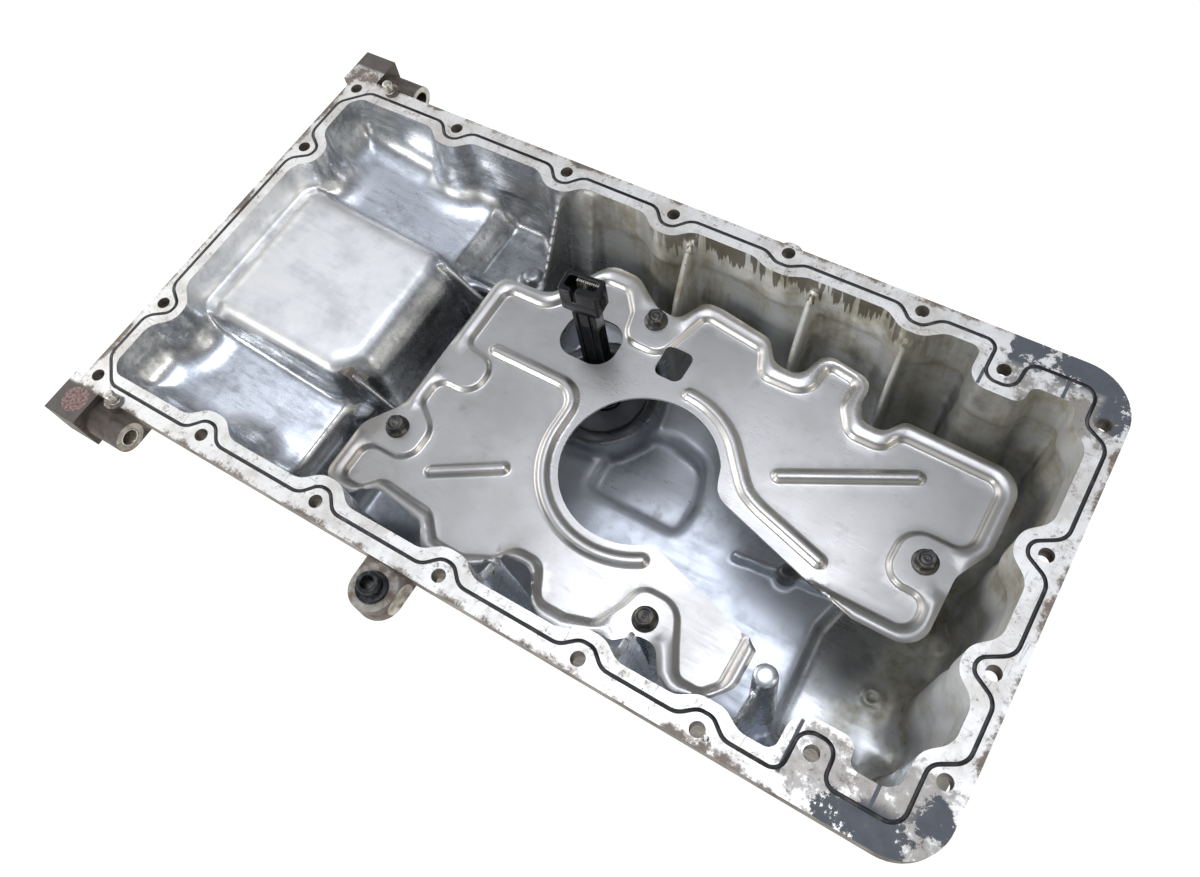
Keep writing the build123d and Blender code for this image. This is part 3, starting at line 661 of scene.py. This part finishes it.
# painted shade: these masks darken the far corner and the shelf corner under the plate, the step wall under
# its left edge, the lower walls and the knob's top
far_corner = times(ramp(py, 45, 75), ramp(px, 132, 142), ramp(px, 225, 200))
shelf_corner = times(ramp(px, -60, -76), ramp(py, 52, 60), ramp(px, -136, -124))
step_wall = times(ramp(px, -127, -119), ramp(px, -60, -90))
slanted = maths("SUBTRACT", pz, times(px, 0.15))
step_wall = times(step_wall, ramp(slanted, 128, 118))
low_wall = times(walls, ramp(pz, 105, 60))
knob = times(around(place, 129, -2, 6, 9), ramp(pz, 19, 22, 0, 0.9))
painted_shade = most(times(far_corner, 0.8), times(shelf_corner, 0.6), times(step_wall, 0.7),
            times(low_wall, 0.65), knob)
painted_shade = times(painted_shade, ramp(cloud, 0.3, 0.55, 1, 0.5))
# painted light: the sump floor left of the pocket is painted near-white as a pool of light, less so in the
# well
painted_floor_light = times(ramp(pz, 36, 24), ramp(px, 168, 158), ramp(pz, 9, 17, 0.5, 1))
colour = blend(times(painted_floor_light, ramp(cloud, 0.35, 0.65, 0.9, 0.45)), colour, linear("#f0f6ff"))
shaded = times(around(place, *sensor, 30, 48), ramp(pz, 90, 70, 0, 0.85))
colour = blend(shaded, colour, linear("#26272a"))
# the painted shade goes onto the colour here
colour = blend(painted_shade, colour, linear("#4b4a46"))

# painted light: the right end near the pocket and the top of the raised block are painted near-white
end_bright = times(ramp(px, 208, 218), ramp(py, 5, -15), ramp(py, -85, -65))
end_bright = times(end_bright, ramp(pz, 25, 60))
block_face = times(ramp(px, -112, -124), ramp(pz, 113, 117),
                   ramp(maths("ABSOLUTE", py), 58, 48))
painted_light_stretches = most(end_bright, block_face)
colour = blend(times(painted_light_stretches, ramp(cloud, 0.3, 0.6, 0.95, 0.5)), colour, linear("#fbfaf7"))
stained = ramp(torn(ramp(pz, 96, 136), drips, 1.5), 0.86, 0.94, 0, 0.8)
stained = times(stained, ramp(py, 90, 100), ramp(px, -30, 10))
stained = times(stained, ramp(px, 160, 120, 0.15, 1))
colour = blend(stained, colour, linear("#4d4531"))
plug(colour, shader, "Base Color")
dull = most(walls, ramp(pz, 70, 30, 0, 0.6), times(painted_light_stretches, 0.6))
plug(maths("SUBTRACT", 0.9, times(dull, 0.36)), shader, "Metallic")
satin = times(most(walls, block_face, painted_floor_light), 0.12)
gloss = plus(ramp(worn, 0.35, 0.65, 0.2, 0.34), satin)
plug(gloss, shader, "Roughness")
waves = plus(times(broad, 3.0), times(cloud, 0.5), times(fine, 0.12),
             times(rubbed, 0.1))
plug(bump(waves, 0.3, 0.4), shader, "Normal")

# cast outside: rough grey-brown skin, rusty in places, with bare machined faces round the sleeve and
# on the lug
outside, shader, place = material("cast_aluminium_outside")
px, py, pz = axes(place)
broad = noise(place, 34, 8, rough=0.65)
mottle = noise(place, 7, 8, rough=0.7)
grain = noise(place, 1.3, 4)
colour = blend(ramp(broad, 0.38, 0.62), linear("#8b857c"), linear("#665f57"))
colour = blend(ramp(mottle, 0.48, 0.66, 0, 0.7), colour, linear("#544b43"))
rust = ramp(times(broad, mottle), 0.28, 0.36, 0, 0.8)
colour = blend(rust, colour, linear("#5a4232"))
side_away = maths("ABSOLUTE", py)
ear = times(ramp(px, -200, -206), ramp(side_away, 129, 131))
colour = blend(times(ear, 0.65), colour, linear("#4b443e"))
tree = place.id_data
from_bore = add(tree, "CombineXYZ", {0: 0.0, 1: plus(side_away, -139.0), 2: plus(pz, -123.0)})
reach = add(tree, "VectorMath", {0: from_bore.outputs[0]}, operation="LENGTH").outputs["Value"]
faced = times(ramp(reach, 8.5, 9.0, 1, 0), ramp(px, -208.6, -208.2))
lug_face = times(around(place, -28.8, -142, 12, 14), ramp(pz, 131.7, 131.9), 0.5)
faced = most(faced, lug_face)
machined = blend(ramp(mottle, 0.4, 0.65), linear("#c9c5bd"), linear("#8f877b"))
colour = blend(faced, colour, machined)
plug(colour, shader, "Base Color")
plug(ramp(faced, 0, 1, 0.45, 0.9), shader, "Metallic")
plug(ramp(mottle, 0.3, 0.7, 0.45, 0.65), shader, "Roughness")
relief = plus(grain, times(mottle, 2.0))
plug(bump(relief, 0.6, 0.35), shader, "Normal")

for made in (milled, inside, outside):
    cast_pan.data.materials.append(made)
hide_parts("pan_casting")
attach(cast_pan, "root")


# Baffle plate: one pressed steel sheet, its middle sunk inside a raised lip, with rounded beads
# pressed up for stiffness; it lies on four pillars and is held by four flanged screws.
PLATE = level(40)
arc = [(41 + 44.3 * math.cos(math.radians(a)), -10.5 + 44.3 * math.sin(math.radians(a)), 0)
       for a in np.linspace(-60.5, -330.2, 100)]
lip = rounded([
    (-98, 61.5, 9), (-98, -40, 14), (-112.5, -61, 14), (-112.5, -100.5, 12), (-92, -100.5, 8),
    (-80, -90.5, 10), (-46, -95.5, 7), (-38, -106.5, 6), (-12, -105, 8), (-3, -98.5, 4),
    (6, -88.5, 8), (22, -87, 10),
    (31, -104, 8), (38, -108.5, 8), (52, -108.5, 10), (70, -100, 10), (78, -99.5, 5), (88, -91, 8),
    (98, -90.5, 9), (106, -103, 8), (115, -108.5, 8), (134, -100.5, 8), (142.3, -90, 10), (142.3, -69, 1.5),
    (136, -64.8, 2), (69.2, -44.7, 6)] + arc + [
    (84.9, -4.5, 14), (154, -26, 2), (175, -32, 6), (209.8, -32, 14), (209.8, 12, 14), (220, 32, 14),
    (220, 78.5, 16), (153.5, 80.5, 6), (146, 69.5, 8), (133, 70, 8), (128.5, 80, 8), (128.5, 95, 9),
    (98, 100.5, 9), (92, 80, 9), (76, 81, 10), (66, 94.5, 8), (34, 100, 12), (22, 100.5, 9), (13, 82, 8),
    (-2, 84, 10), (-22, 98, 14), (-41, 98.5, 12), (-64, 63, 14)])
middle = rounded([
    (-89.8, 55.5, 7), (-89.8, 10, 8), (-67, 6.5, 11), (-67, -15.5, 11), (-91, -15.5, 8), (-91, -34, 8),
    (-75, -46, 12), (-75, -68.5, 12), (-104, -68.5, 9), (-104, -95, 9), (-90, -95, 8), (-81, -85, 8),
    (-46, -88, 10), (-34, -100.5, 8), (-16, -100.5, 8), (0, -93, 8), (8, -82.5, 9), (23, -82.5, 9),
    (33, -101, 9), (50, -101, 8), (66, -96, 8), (74, -80, 10), (77, -68, 12), (97, -68, 13), (106, -86, 10),
    (114, -100.5, 8), (128, -100.5, 8), (135.7, -92, 8), (135.7, -50, 1), (150, -25.3, 1), (203, -25.3, 12),
    (203, -4, 9), (179, -4, 12), (179, 26, 12), (212, 26, 10), (212, 70.5, 9), (155, 72, 7), (149, 60.5, 9),
    (130, 60.5, 10), (121, 74, 10), (121, 91.5, 5), (102.5, 94.5, 5), (100, 72, 11), (72, 71.5, 9),
    (65, 87, 7), (26, 92.5, 6), (15, 57.3, 10), (-8, 57.3, 11), (-12.5, 76, 10), (-23, 88.5, 9),
    (-41, 88.5, 9), (-50, 70, 12), (-62, 56, 12)])


def turn(x, y, radius, first, last, count=24):
    """Points along an arc between two angles in degrees."""
    return [(x + radius * math.cos(math.radians(a)), y + radius * math.sin(math.radians(a)))
            for a in np.linspace(first, last, count)]


paths = [
    [(-72, 16), (-27, 16)] + turn(-27, 1, 15, 85, 5, 8) + [(-12, -2)] + turn(41, -10.5, 53, 180, 302, 60),
    turn(41, -10.5, 53, 88, 44, 24) + [(84, 20.5), (89, 14.5), (94, 8.6), (98.5, 4.4), (104, 1.5),
                                       (110, -0.8), (148, -12)],
    [(-60, -67), (-25, -46)],
    [(109, 21), (172, 54)],
]


def along(path, spacing=1.5):
    """Points evenly spaced along a path, with the direction there."""
    path = np.array(path, float)
    length = np.concatenate([[0], np.cumsum(np.linalg.norm(np.diff(path, axis=0), axis=1))])
    where = np.linspace(0, length[-1], max(2, int(length[-1] / spacing)))
    points = np.stack([np.interp(where, length, path[:, i]) for i in (0, 1)], 1)
    heading = np.gradient(points, axis=0)
    return points, heading / np.linalg.norm(heading, axis=1)[:, None]


def from_path(path, x, y):
    """Distance from an open path."""
    best = np.full(x.shape, 1e9)
    for (ax, ay), (bx, by) in zip(path, path[1:]):
        ex, ey = bx - ax, by - ay
        t = np.clip(((x - ax) * ex + (y - ay) * ey) / (ex * ex + ey * ey), 0, 1)
        best = np.minimum(best, np.hypot(x - ax - t * ex, y - ay - t * ey))
    return best


def smooth(value):
    """Value that goes softly from 0 to 1 and stays there."""
    value = np.clip(value, 0, 1)
    return value * value * (3 - 2 * value)


def plate_height(x, y):
    """Top of the pressed sheet: lip, sunk middle and raised beads."""
    inner, outer = np.maximum(distance(middle, x, y) - 0.9, 0), np.maximum(-distance(lip, x, y), 0)
    width = np.maximum(inner + outer, 1)
    height = PLATE - 2.5 * smooth((0.9 - distance(middle, x, y)) / 3.6)
    height = height + 4 * inner * outer / width ** 2 * smooth((13 - width) / 4)
    for path in paths:
        height = height + 2.5 * smooth((4.7 - from_path(path, x, y)) / 3.6)
    return height


def stepped(line, spacing):
    """The same closed line with a point at least every spacing millimetres."""
    points = []
    for a, b in zip(line, np.roll(line, -1, 0)):
        count = max(1, int(np.linalg.norm(b - a) / spacing + 0.5))
        points += [a + (b - a) * i / count for i in range(count)]
    return np.array(points)


lip = stepped(lip, 2.5)
middle = stepped(middle, 2.0)
cuts = [rounded([(x - a, y - b, r), (x + a, y - b, r), (x + a, y + b, r), (x - a, y + b, r)])
        for x, y, a, b, r in [(*sensor, 18, 15.2, 12.4), (25.3, 55.8, 8.7, 10.2, 5)]]
rows = []
for line, depths in [(middle, (-1.4, -0.6, 0.2, 0.9, 1.6, 2.3, 3.0)), (lip, (1.0, 2.2, 3.4, 4.8))]:
    ahead = np.roll(line, -1, 0) - np.roll(line, 1, 0)
    ahead = ahead / np.linalg.norm(ahead, axis=1)[:, None]
    for depth in depths:
        row = line + np.stack([-ahead[:, 1], ahead[:, 0]], 1) * depth
        rows.append(row[np.abs(distance(line, row[:, 0], row[:, 1]) + depth) < 0.2])
for path in paths:
    points, heading = along(path)
    across = np.stack([-heading[:, 1], heading[:, 0]], 1)
    for offset in (-5.2, -4.4, -3.6, -2.8, -2.0, -1.0, 0, 1.0, 2.0, 2.8, 3.6, 4.4, 5.2):
        rows.append(points + across * offset)
    for end, way in ((points[0], -heading[0]), (points[-1], heading[-1])):
        angle = math.degrees(math.atan2(way[1], way[0]))
        for radius in (1.0, 2.0, 2.8, 3.6, 4.4, 5.2):
            rows.append(np.array(turn(end[0], end[1], radius, angle - 80, angle + 80, 9)))
loose = np.concatenate(rows)
spread = np.stack(np.meshgrid(np.arange(-112, 220, 5.0), np.arange(-108, 101, 5.0)), -1).reshape(-1, 2)
clear = np.abs(distance(middle, spread[:, 0], spread[:, 1])) > 4
for path in paths:
    clear &= from_path(path, spread[:, 0], spread[:, 1]) > 6.5
loose = np.concatenate([loose, spread[clear]])


def on_plate(points, margin):
    """Whether points lie on the sheet, at least a margin away from its edges."""
    good = distance(lip, points[:, 0], points[:, 1]) < -margin
    for cut in cuts:
        good &= distance(cut, points[:, 0], points[:, 1]) > margin
    return good


loose = loose[on_plate(loose, 0.7)]
flat_points = np.concatenate([lip] + cuts + [loose])
edges, first = [], 0
for loop in [lip] + cuts:
    edges += [(first + i, first + (i + 1) % len(loop)) for i in range(len(loop))]
    first += len(loop)
verts, _, tris, _, _, _ = delaunay_2d_cdt([Vector(p) for p in flat_points], edges, [], 0, 1e-4)
verts = np.array([tuple(v) for v in verts])
tris = np.array([t for t in tris if len(t) == 3])
tris = tris[on_plate(verts[tris].mean(1), 0)]
top = np.concatenate([verts, plate_height(verts[:, 0], verts[:, 1])[:, None]], 1)
baffle = placed("baffle", mesh_of("baffle", top, tris))
for face in baffle.data.polygons:
    face.use_smooth = True
thicken = baffle.modifiers.new("sheet", "SOLIDIFY")
thicken.thickness = 1.5 * MM
thicken.offset = -1


def round_edges(made, width, segments, angle):
    """Bevel of this many millimetres along edges sharper than this many degrees."""
    edges = made.modifiers.new("edges", "BEVEL")
    edges.width = width * MM
    edges.segments = segments
    edges.limit_method = "ANGLE"
    edges.angle_limit = math.radians(angle)
    edges.harden_normals = True


def stand_in(made, look, node):
    """Gives a piece its material and lets it take the place of a CAD node."""
    made.data.materials.append(look)
    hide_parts(node)
    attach(made, "root")


round_edges(baffle, 0.35, 2, 60)

sheet, shader, place = material("pressed_steel_sheet")
cloud = noise(place, 60, 6, rough=0.55)
stain = noise(place, 16, 8, rough=0.7)
brushed = noise(place, 1.6, 5, (0.12, 1, 1), rough=0.65)
fine = noise(place, 0.9, 3)
colour = blend(ramp(cloud, 0.35, 0.65), linear("#c9c7c4"), linear("#b0aeab"))
colour = blend(ramp(stain, 0.56, 0.74, 0, 0.45), colour, linear("#8f887c"))
colour = blend(ramp(brushed, 0.55, 0.75, 0, 0.3), colour, linear("#97958f"))
along_pan = axes(place)["X"]
# painted shade: the sheet is painted darker towards its right end
colour = blend(ramp(along_pan, 70, 210, 0, 0.6), colour, linear("#8d8b88"))
left = torn(ramp(along_pan, -85, -112), stain, 1.0)
colour = blend(ramp(left, 0.3, 0.9, 0, 0.5), colour, linear("#6d6253"))
plug(colour, shader, "Base Color")
shader.inputs["Metallic"].default_value = 0.95
gloss = plus(times(cloud, 0.6), times(brushed, 0.4))
plug(ramp(gloss, 0.35, 0.65, 0.27, 0.37), shader, "Roughness")
relief = plus(times(cloud, 5.0), brushed, fine)
plug(bump(relief, 0.15, 0.12), shader, "Normal")
stand_in(baffle, sheet, "baffle_plate")

# Plate screws: forged hexagon heads with a washer flange and a dished top, zinc phosphate on steel,
# blackened by oil; one stands in each pillar.


def lathe(name, rings, x, y, z, sides=48):
    """Round piece about an upright line: rings of (radius, height, part), where part 1 is a hexagon."""
    built = bmesh.new()
    loops = []
    for radius, height, hexagon in rings:
        loop = []
        for i in range(sides):
            angle = 2 * math.pi * i / sides
            flat = radius / math.cos((angle + math.pi / 6) % (math.pi / 3) - math.pi / 6)
            reach = radius + (min(flat, radius * 1.12) - radius) * hexagon
            spot = (x + reach * math.cos(angle), y + reach * math.sin(angle), z + height)
            loop.append(built.verts.new(Vector(spot) * MM))
        loops.append(loop)
    for low, high in zip(loops, loops[1:]):
        for i in range(sides):
            built.faces.new((low[i], low[(i + 1) % sides], high[(i + 1) % sides], high[i]))
    built.faces.new(loops[0][::-1])
    built.faces.new(loops[-1])
    for face in built.faces:
        face.smooth = True
    for edge in built.edges:
        edge.smooth = edge.calc_face_angle(0) < 0.7
    return placed(name, built)


phosphate, shader, place = material("phosphated_steel")
cloud = noise(place, 4, 5)
grain = noise(place, 0.5, 3)
colour = blend(ramp(cloud, 0.4, 0.65), linear("#4a4a4b"), linear("#6b675f"))
plug(colour, shader, "Base Color")
shader.inputs["Metallic"].default_value = 0.9
plug(ramp(grain, 0.3, 0.7, 0.3, 0.45), shader, "Roughness")
plug(bump(grain, 0.4, 0.08), shader, "Normal")
screw_rings = [
    (2.9, -16.4, 0), (2.9, 0, 0), (6.9, 0.02, 0), (6.9, 0.7, 0), (6.6, 1.05, 0), (5.4, 1.75, 0.2),
    (4.95, 2.1, 1), (4.95, 5.0, 1), (4.75, 5.6, 0.35), (4.4, 5.97, 0), (3.85, 5.97, 0), (3.65, 5.75, 0),
    (3.5, 5.2, 0), (2.4, 5.05, 0), (2.2, 5.3, 0), (1.4, 5.35, 0), (1.2, 5.1, 0)]
for number, (x, y) in enumerate(pillars, 1):
    screw = lathe("plate_screw_%d" % number, screw_rings, x, y, PLATE)
    stand_in(screw, phosphate, "baffle_screw_%d" % number)

# Level sensor: glossy black moulded head and fluted stem, tinned blades in the head; its foot, ring
# and three screws sit under the pan.


def softened(node, name, width, look):
    """Copy of a CAD node with its edges rounded by this many millimetres, in one material."""
    built = bmesh.new()
    built.from_mesh(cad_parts[node].data)
    bmesh.ops.remove_doubles(built, verts=built.verts, dist=1e-6)
    bmesh.ops.dissolve_limit(built, angle_limit=0.02, verts=built.verts, edges=built.edges)
    for face in built.faces:
        face.smooth = True
    made = placed(name, built)
    if width:
        round_edges(made, width, 2, 35)
    stand_in(made, look, node)


plastic, shader, place = material("moulded_black_nylon")
film = noise(place, 6, 4)
shader.inputs["Base Color"].default_value = linear("#0e0f12")
plug(ramp(film, 0.35, 0.65, 0.1, 0.24), shader, "Roughness")
plug(bump(film, 0.1, 0.1), shader, "Normal")


def stacked(parts):
    """Mesh of solids, each a list of (height, outline) with outlines of one length, set at the sensor."""
    built = bmesh.new()
    turned = math.radians(6)
    for rows in parts:
        loops = [[built.verts.new(Vector((-25 + x * math.cos(turned) - y * math.sin(turned),
                                          49.3 + x * math.sin(turned) + y * math.cos(turned), height)) * MM)
                  for x, y in outline] for height, outline in rows]
        for low, high in zip(loops, loops[1:]):
            for i in range(len(low)):
                built.faces.new((low[i], low[(i + 1) % len(low)], high[(i + 1) % len(low)], high[i]))
        built.faces.new(loops[0][::-1])
        built.faces.new(loops[-1])
    bmesh.ops.recalc_face_normals(built, faces=built.faces)
    return built


def box_line(half_x, half_y, radius):
    """Rounded rectangle round the sensor's axis."""
    return rounded([(-half_x, -half_y, radius), (half_x, -half_y, radius),
                    (half_x, half_y, radius), (-half_x, half_y, radius)], 1)


neck, head, disc = box_line(7.4, 5, 2.2), box_line(12, 6.9, 2.2), box_line(11.9, 11.9, 11.8)
cup = rounded([(-1.3, -6.9, 0), (12, -6.9, 2.2), (12, 6.9, 2.2), (-12, 6.9, 2.2), (-12, -6.9, 2.2),
               (-3.9, -6.9, 0), (-3.9, -4.6, 0), (-5.4, -3.2, 0.8), (-9.2, -3.2, 2), (-9.2, 4.4, 2),
               (9.2, 4.4, 2), (9.2, -1.6, 2), (0.4, -1.6, 0.8), (-1.3, -3.4, 0.8)], 1)
fluted = [(-7.4, -4.6), (-4.6, -4.6), (-4.6, -3.2), (-2.8, -3.2), (-2.8, -4.6), (2.8, -4.6),
          (2.8, -3.2), (4.6, -3.2), (4.6, -4.6), (7.4, -4.6), (7.4, 4.6), (-7.4, 4.6)]
for name, node, parts in [
        ("connector_head", "sensor_head", [[(137, cup), (146.9, cup)],
                                           [(125, neck), (129.5, head), (137.5, head)]]),
        ("sensor_column", "sensor_stem", [[(24, disc), (31, disc)], [(30, fluted), (126, fluted)]])]:
    built = stacked(parts)
    for face in built.faces:
        face.smooth = True
    moulded = placed(name, built)
    round_edges(moulded, 0.7, 3, 35)
    stand_in(moulded, plastic, node)
softened("sensor_base", "sensor_foot", 0.4, plastic)

tinned, shader, place = material("tinned_brass")
shader.inputs["Base Color"].default_value = linear("#f0ece0")
shader.inputs["Metallic"].default_value = 1.0
plug(ramp(noise(place, 2, 3), 0.3, 0.7, 0.25, 0.4), shader, "Roughness")
built = stacked([[(height, [(u - 0.32, front), (u + 0.32, front), (u + 0.32, 4.2), (u - 0.32, 4.2)])
                  for height, front in ((137.4, 1.2), (145.2, 2.6))]
                 for u in np.linspace(-4.2, 8.2, 11)])
stand_in(placed("contact_blades", built), tinned, "sensor_contacts")

rubber, shader, place = material("black_nitrile_rubber")
shader.inputs["Base Color"].default_value = linear("#1c1c1d")
plug(ramp(noise(place, 5, 3), 0.3, 0.7, 0.5, 0.65), shader, "Roughness")
softened("sensor_ring", "foot_ring", 0, rubber)

zinc, shader, place = material("zinc_plated_steel")
colour = blend(noise(place, 7, 5), linear("#b9b8b2"), linear("#8d8a80"))
plug(colour, shader, "Base Color")
shader.inputs["Metallic"].default_value = 1.0
plug(ramp(noise(place, 1, 3), 0.3, 0.7, 0.3, 0.45), shader, "Roughness")
for number in (1, 2, 3):
    softened("sensor_screw_%d" % number, "foot_screw_%d" % number, 0.3, zinc)

# Drain plug of plated steel with its soft copper washer, screwed into the boss of the right end wall.
softened("drain_plug", "oil_plug", 0.6, zinc)
copper, shader, place = material("annealed_copper")
colour = blend(noise(place, 5, 4), linear("#b77e5c"), linear("#7d5640"))
plug(colour, shader, "Base Color")
shader.inputs["Metallic"].default_value = 1.0
plug(ramp(noise(place, 2, 3), 0.3, 0.7, 0.35, 0.5), shader, "Roughness")
softened("drain_washer", "plug_washer", 0.2, copper)

# Side lug's flanged nut, black oxide on steel, greasy; the stem stands in the lug's bore.
black_oxide, shader, place = material("black_oxide_steel")
colour = blend(ramp(noise(place, 3, 5), 0.45, 0.7), linear("#1e2023"), linear("#45464a"))
plug(colour, shader, "Base Color")
shader.inputs["Metallic"].default_value = 0.6
plug(ramp(noise(place, 1.5, 4), 0.3, 0.7, 0.25, 0.45), shader, "Roughness")
softened("bracket_nut", "lug_nut", 0.45, black_oxide)

# Dowel sleeve of the near ear and the two locating pins, ground bright steel pressed into the casting.
bright, shader, place = material("ground_bright_steel")
colour = blend(noise(place, 4, 5), linear("#dcdad4"), linear("#b1aca1"))
plug(colour, shader, "Base Color")
shader.inputs["Metallic"].default_value = 1.0
plug(ramp(noise(place, 1.2, 3), 0.3, 0.7, 0.25, 0.4), shader, "Roughness")
softened("dowel_sleeve", "ear_sleeve", 0.3, bright)
for number in (1, 2):
    softened("locating_pin_%d" % number, "rim_pin_%d" % number, 0.3, bright)

# Sealing compound: a cured black cord in the groove of the rim, left from the last fitting.
compound, shader, place = material("cured_black_sealant")
colour = blend(ramp(noise(place, 5, 5), 0.5, 0.75), linear("#26272b"), linear("#4c4b4c"))
plug(colour, shader, "Base Color")
plug(ramp(noise(place, 3, 4), 0.3, 0.7, 0.4, 0.6), shader, "Roughness")
plug(bump(noise(place, 2, 4), 0.3, 0.3), shader, "Normal")
softened("flange_seal", "groove_seal", 0, compound)

# Floor: a wide sheet of white paper that the pan stands on, bright all over but for the pan's soft
# shadow, and clear from below.
paper, shader, place = material("white_paper")
tree = shader.id_data
rays = add(tree, "LightPath").outputs
seen = most(rays["Is Camera Ray"], rays["Is Glossy Ray"], rays["Is Transmission Ray"])
plug(blend(seen, linear("#eceae6"), linear("#8a8782")), shader, "Base Color")
shader.inputs["Roughness"].default_value = 0.9
shader.inputs["Emission Color"].default_value = linear("#ffffff")
plug(times(seen, 0.9), shader, "Emission Strength")
clear = add(tree, "BsdfTransparent").outputs[0]
from_below = add(tree, "NewGeometry").outputs["Backfacing"]
sides = add(tree, "MixShader", {0: from_below, 1: shader.outputs[0], 2: clear})
tree.links.new(sides.outputs[0], tree.nodes["Material Output"].inputs["Surface"])
bpy.ops.mesh.primitive_plane_add(size=6, location=(0, 0, -0.0005))
floor_sheet = bpy.context.object
floor_sheet.name = "floor_sheet"
floor_sheet.data.materials.append(paper)
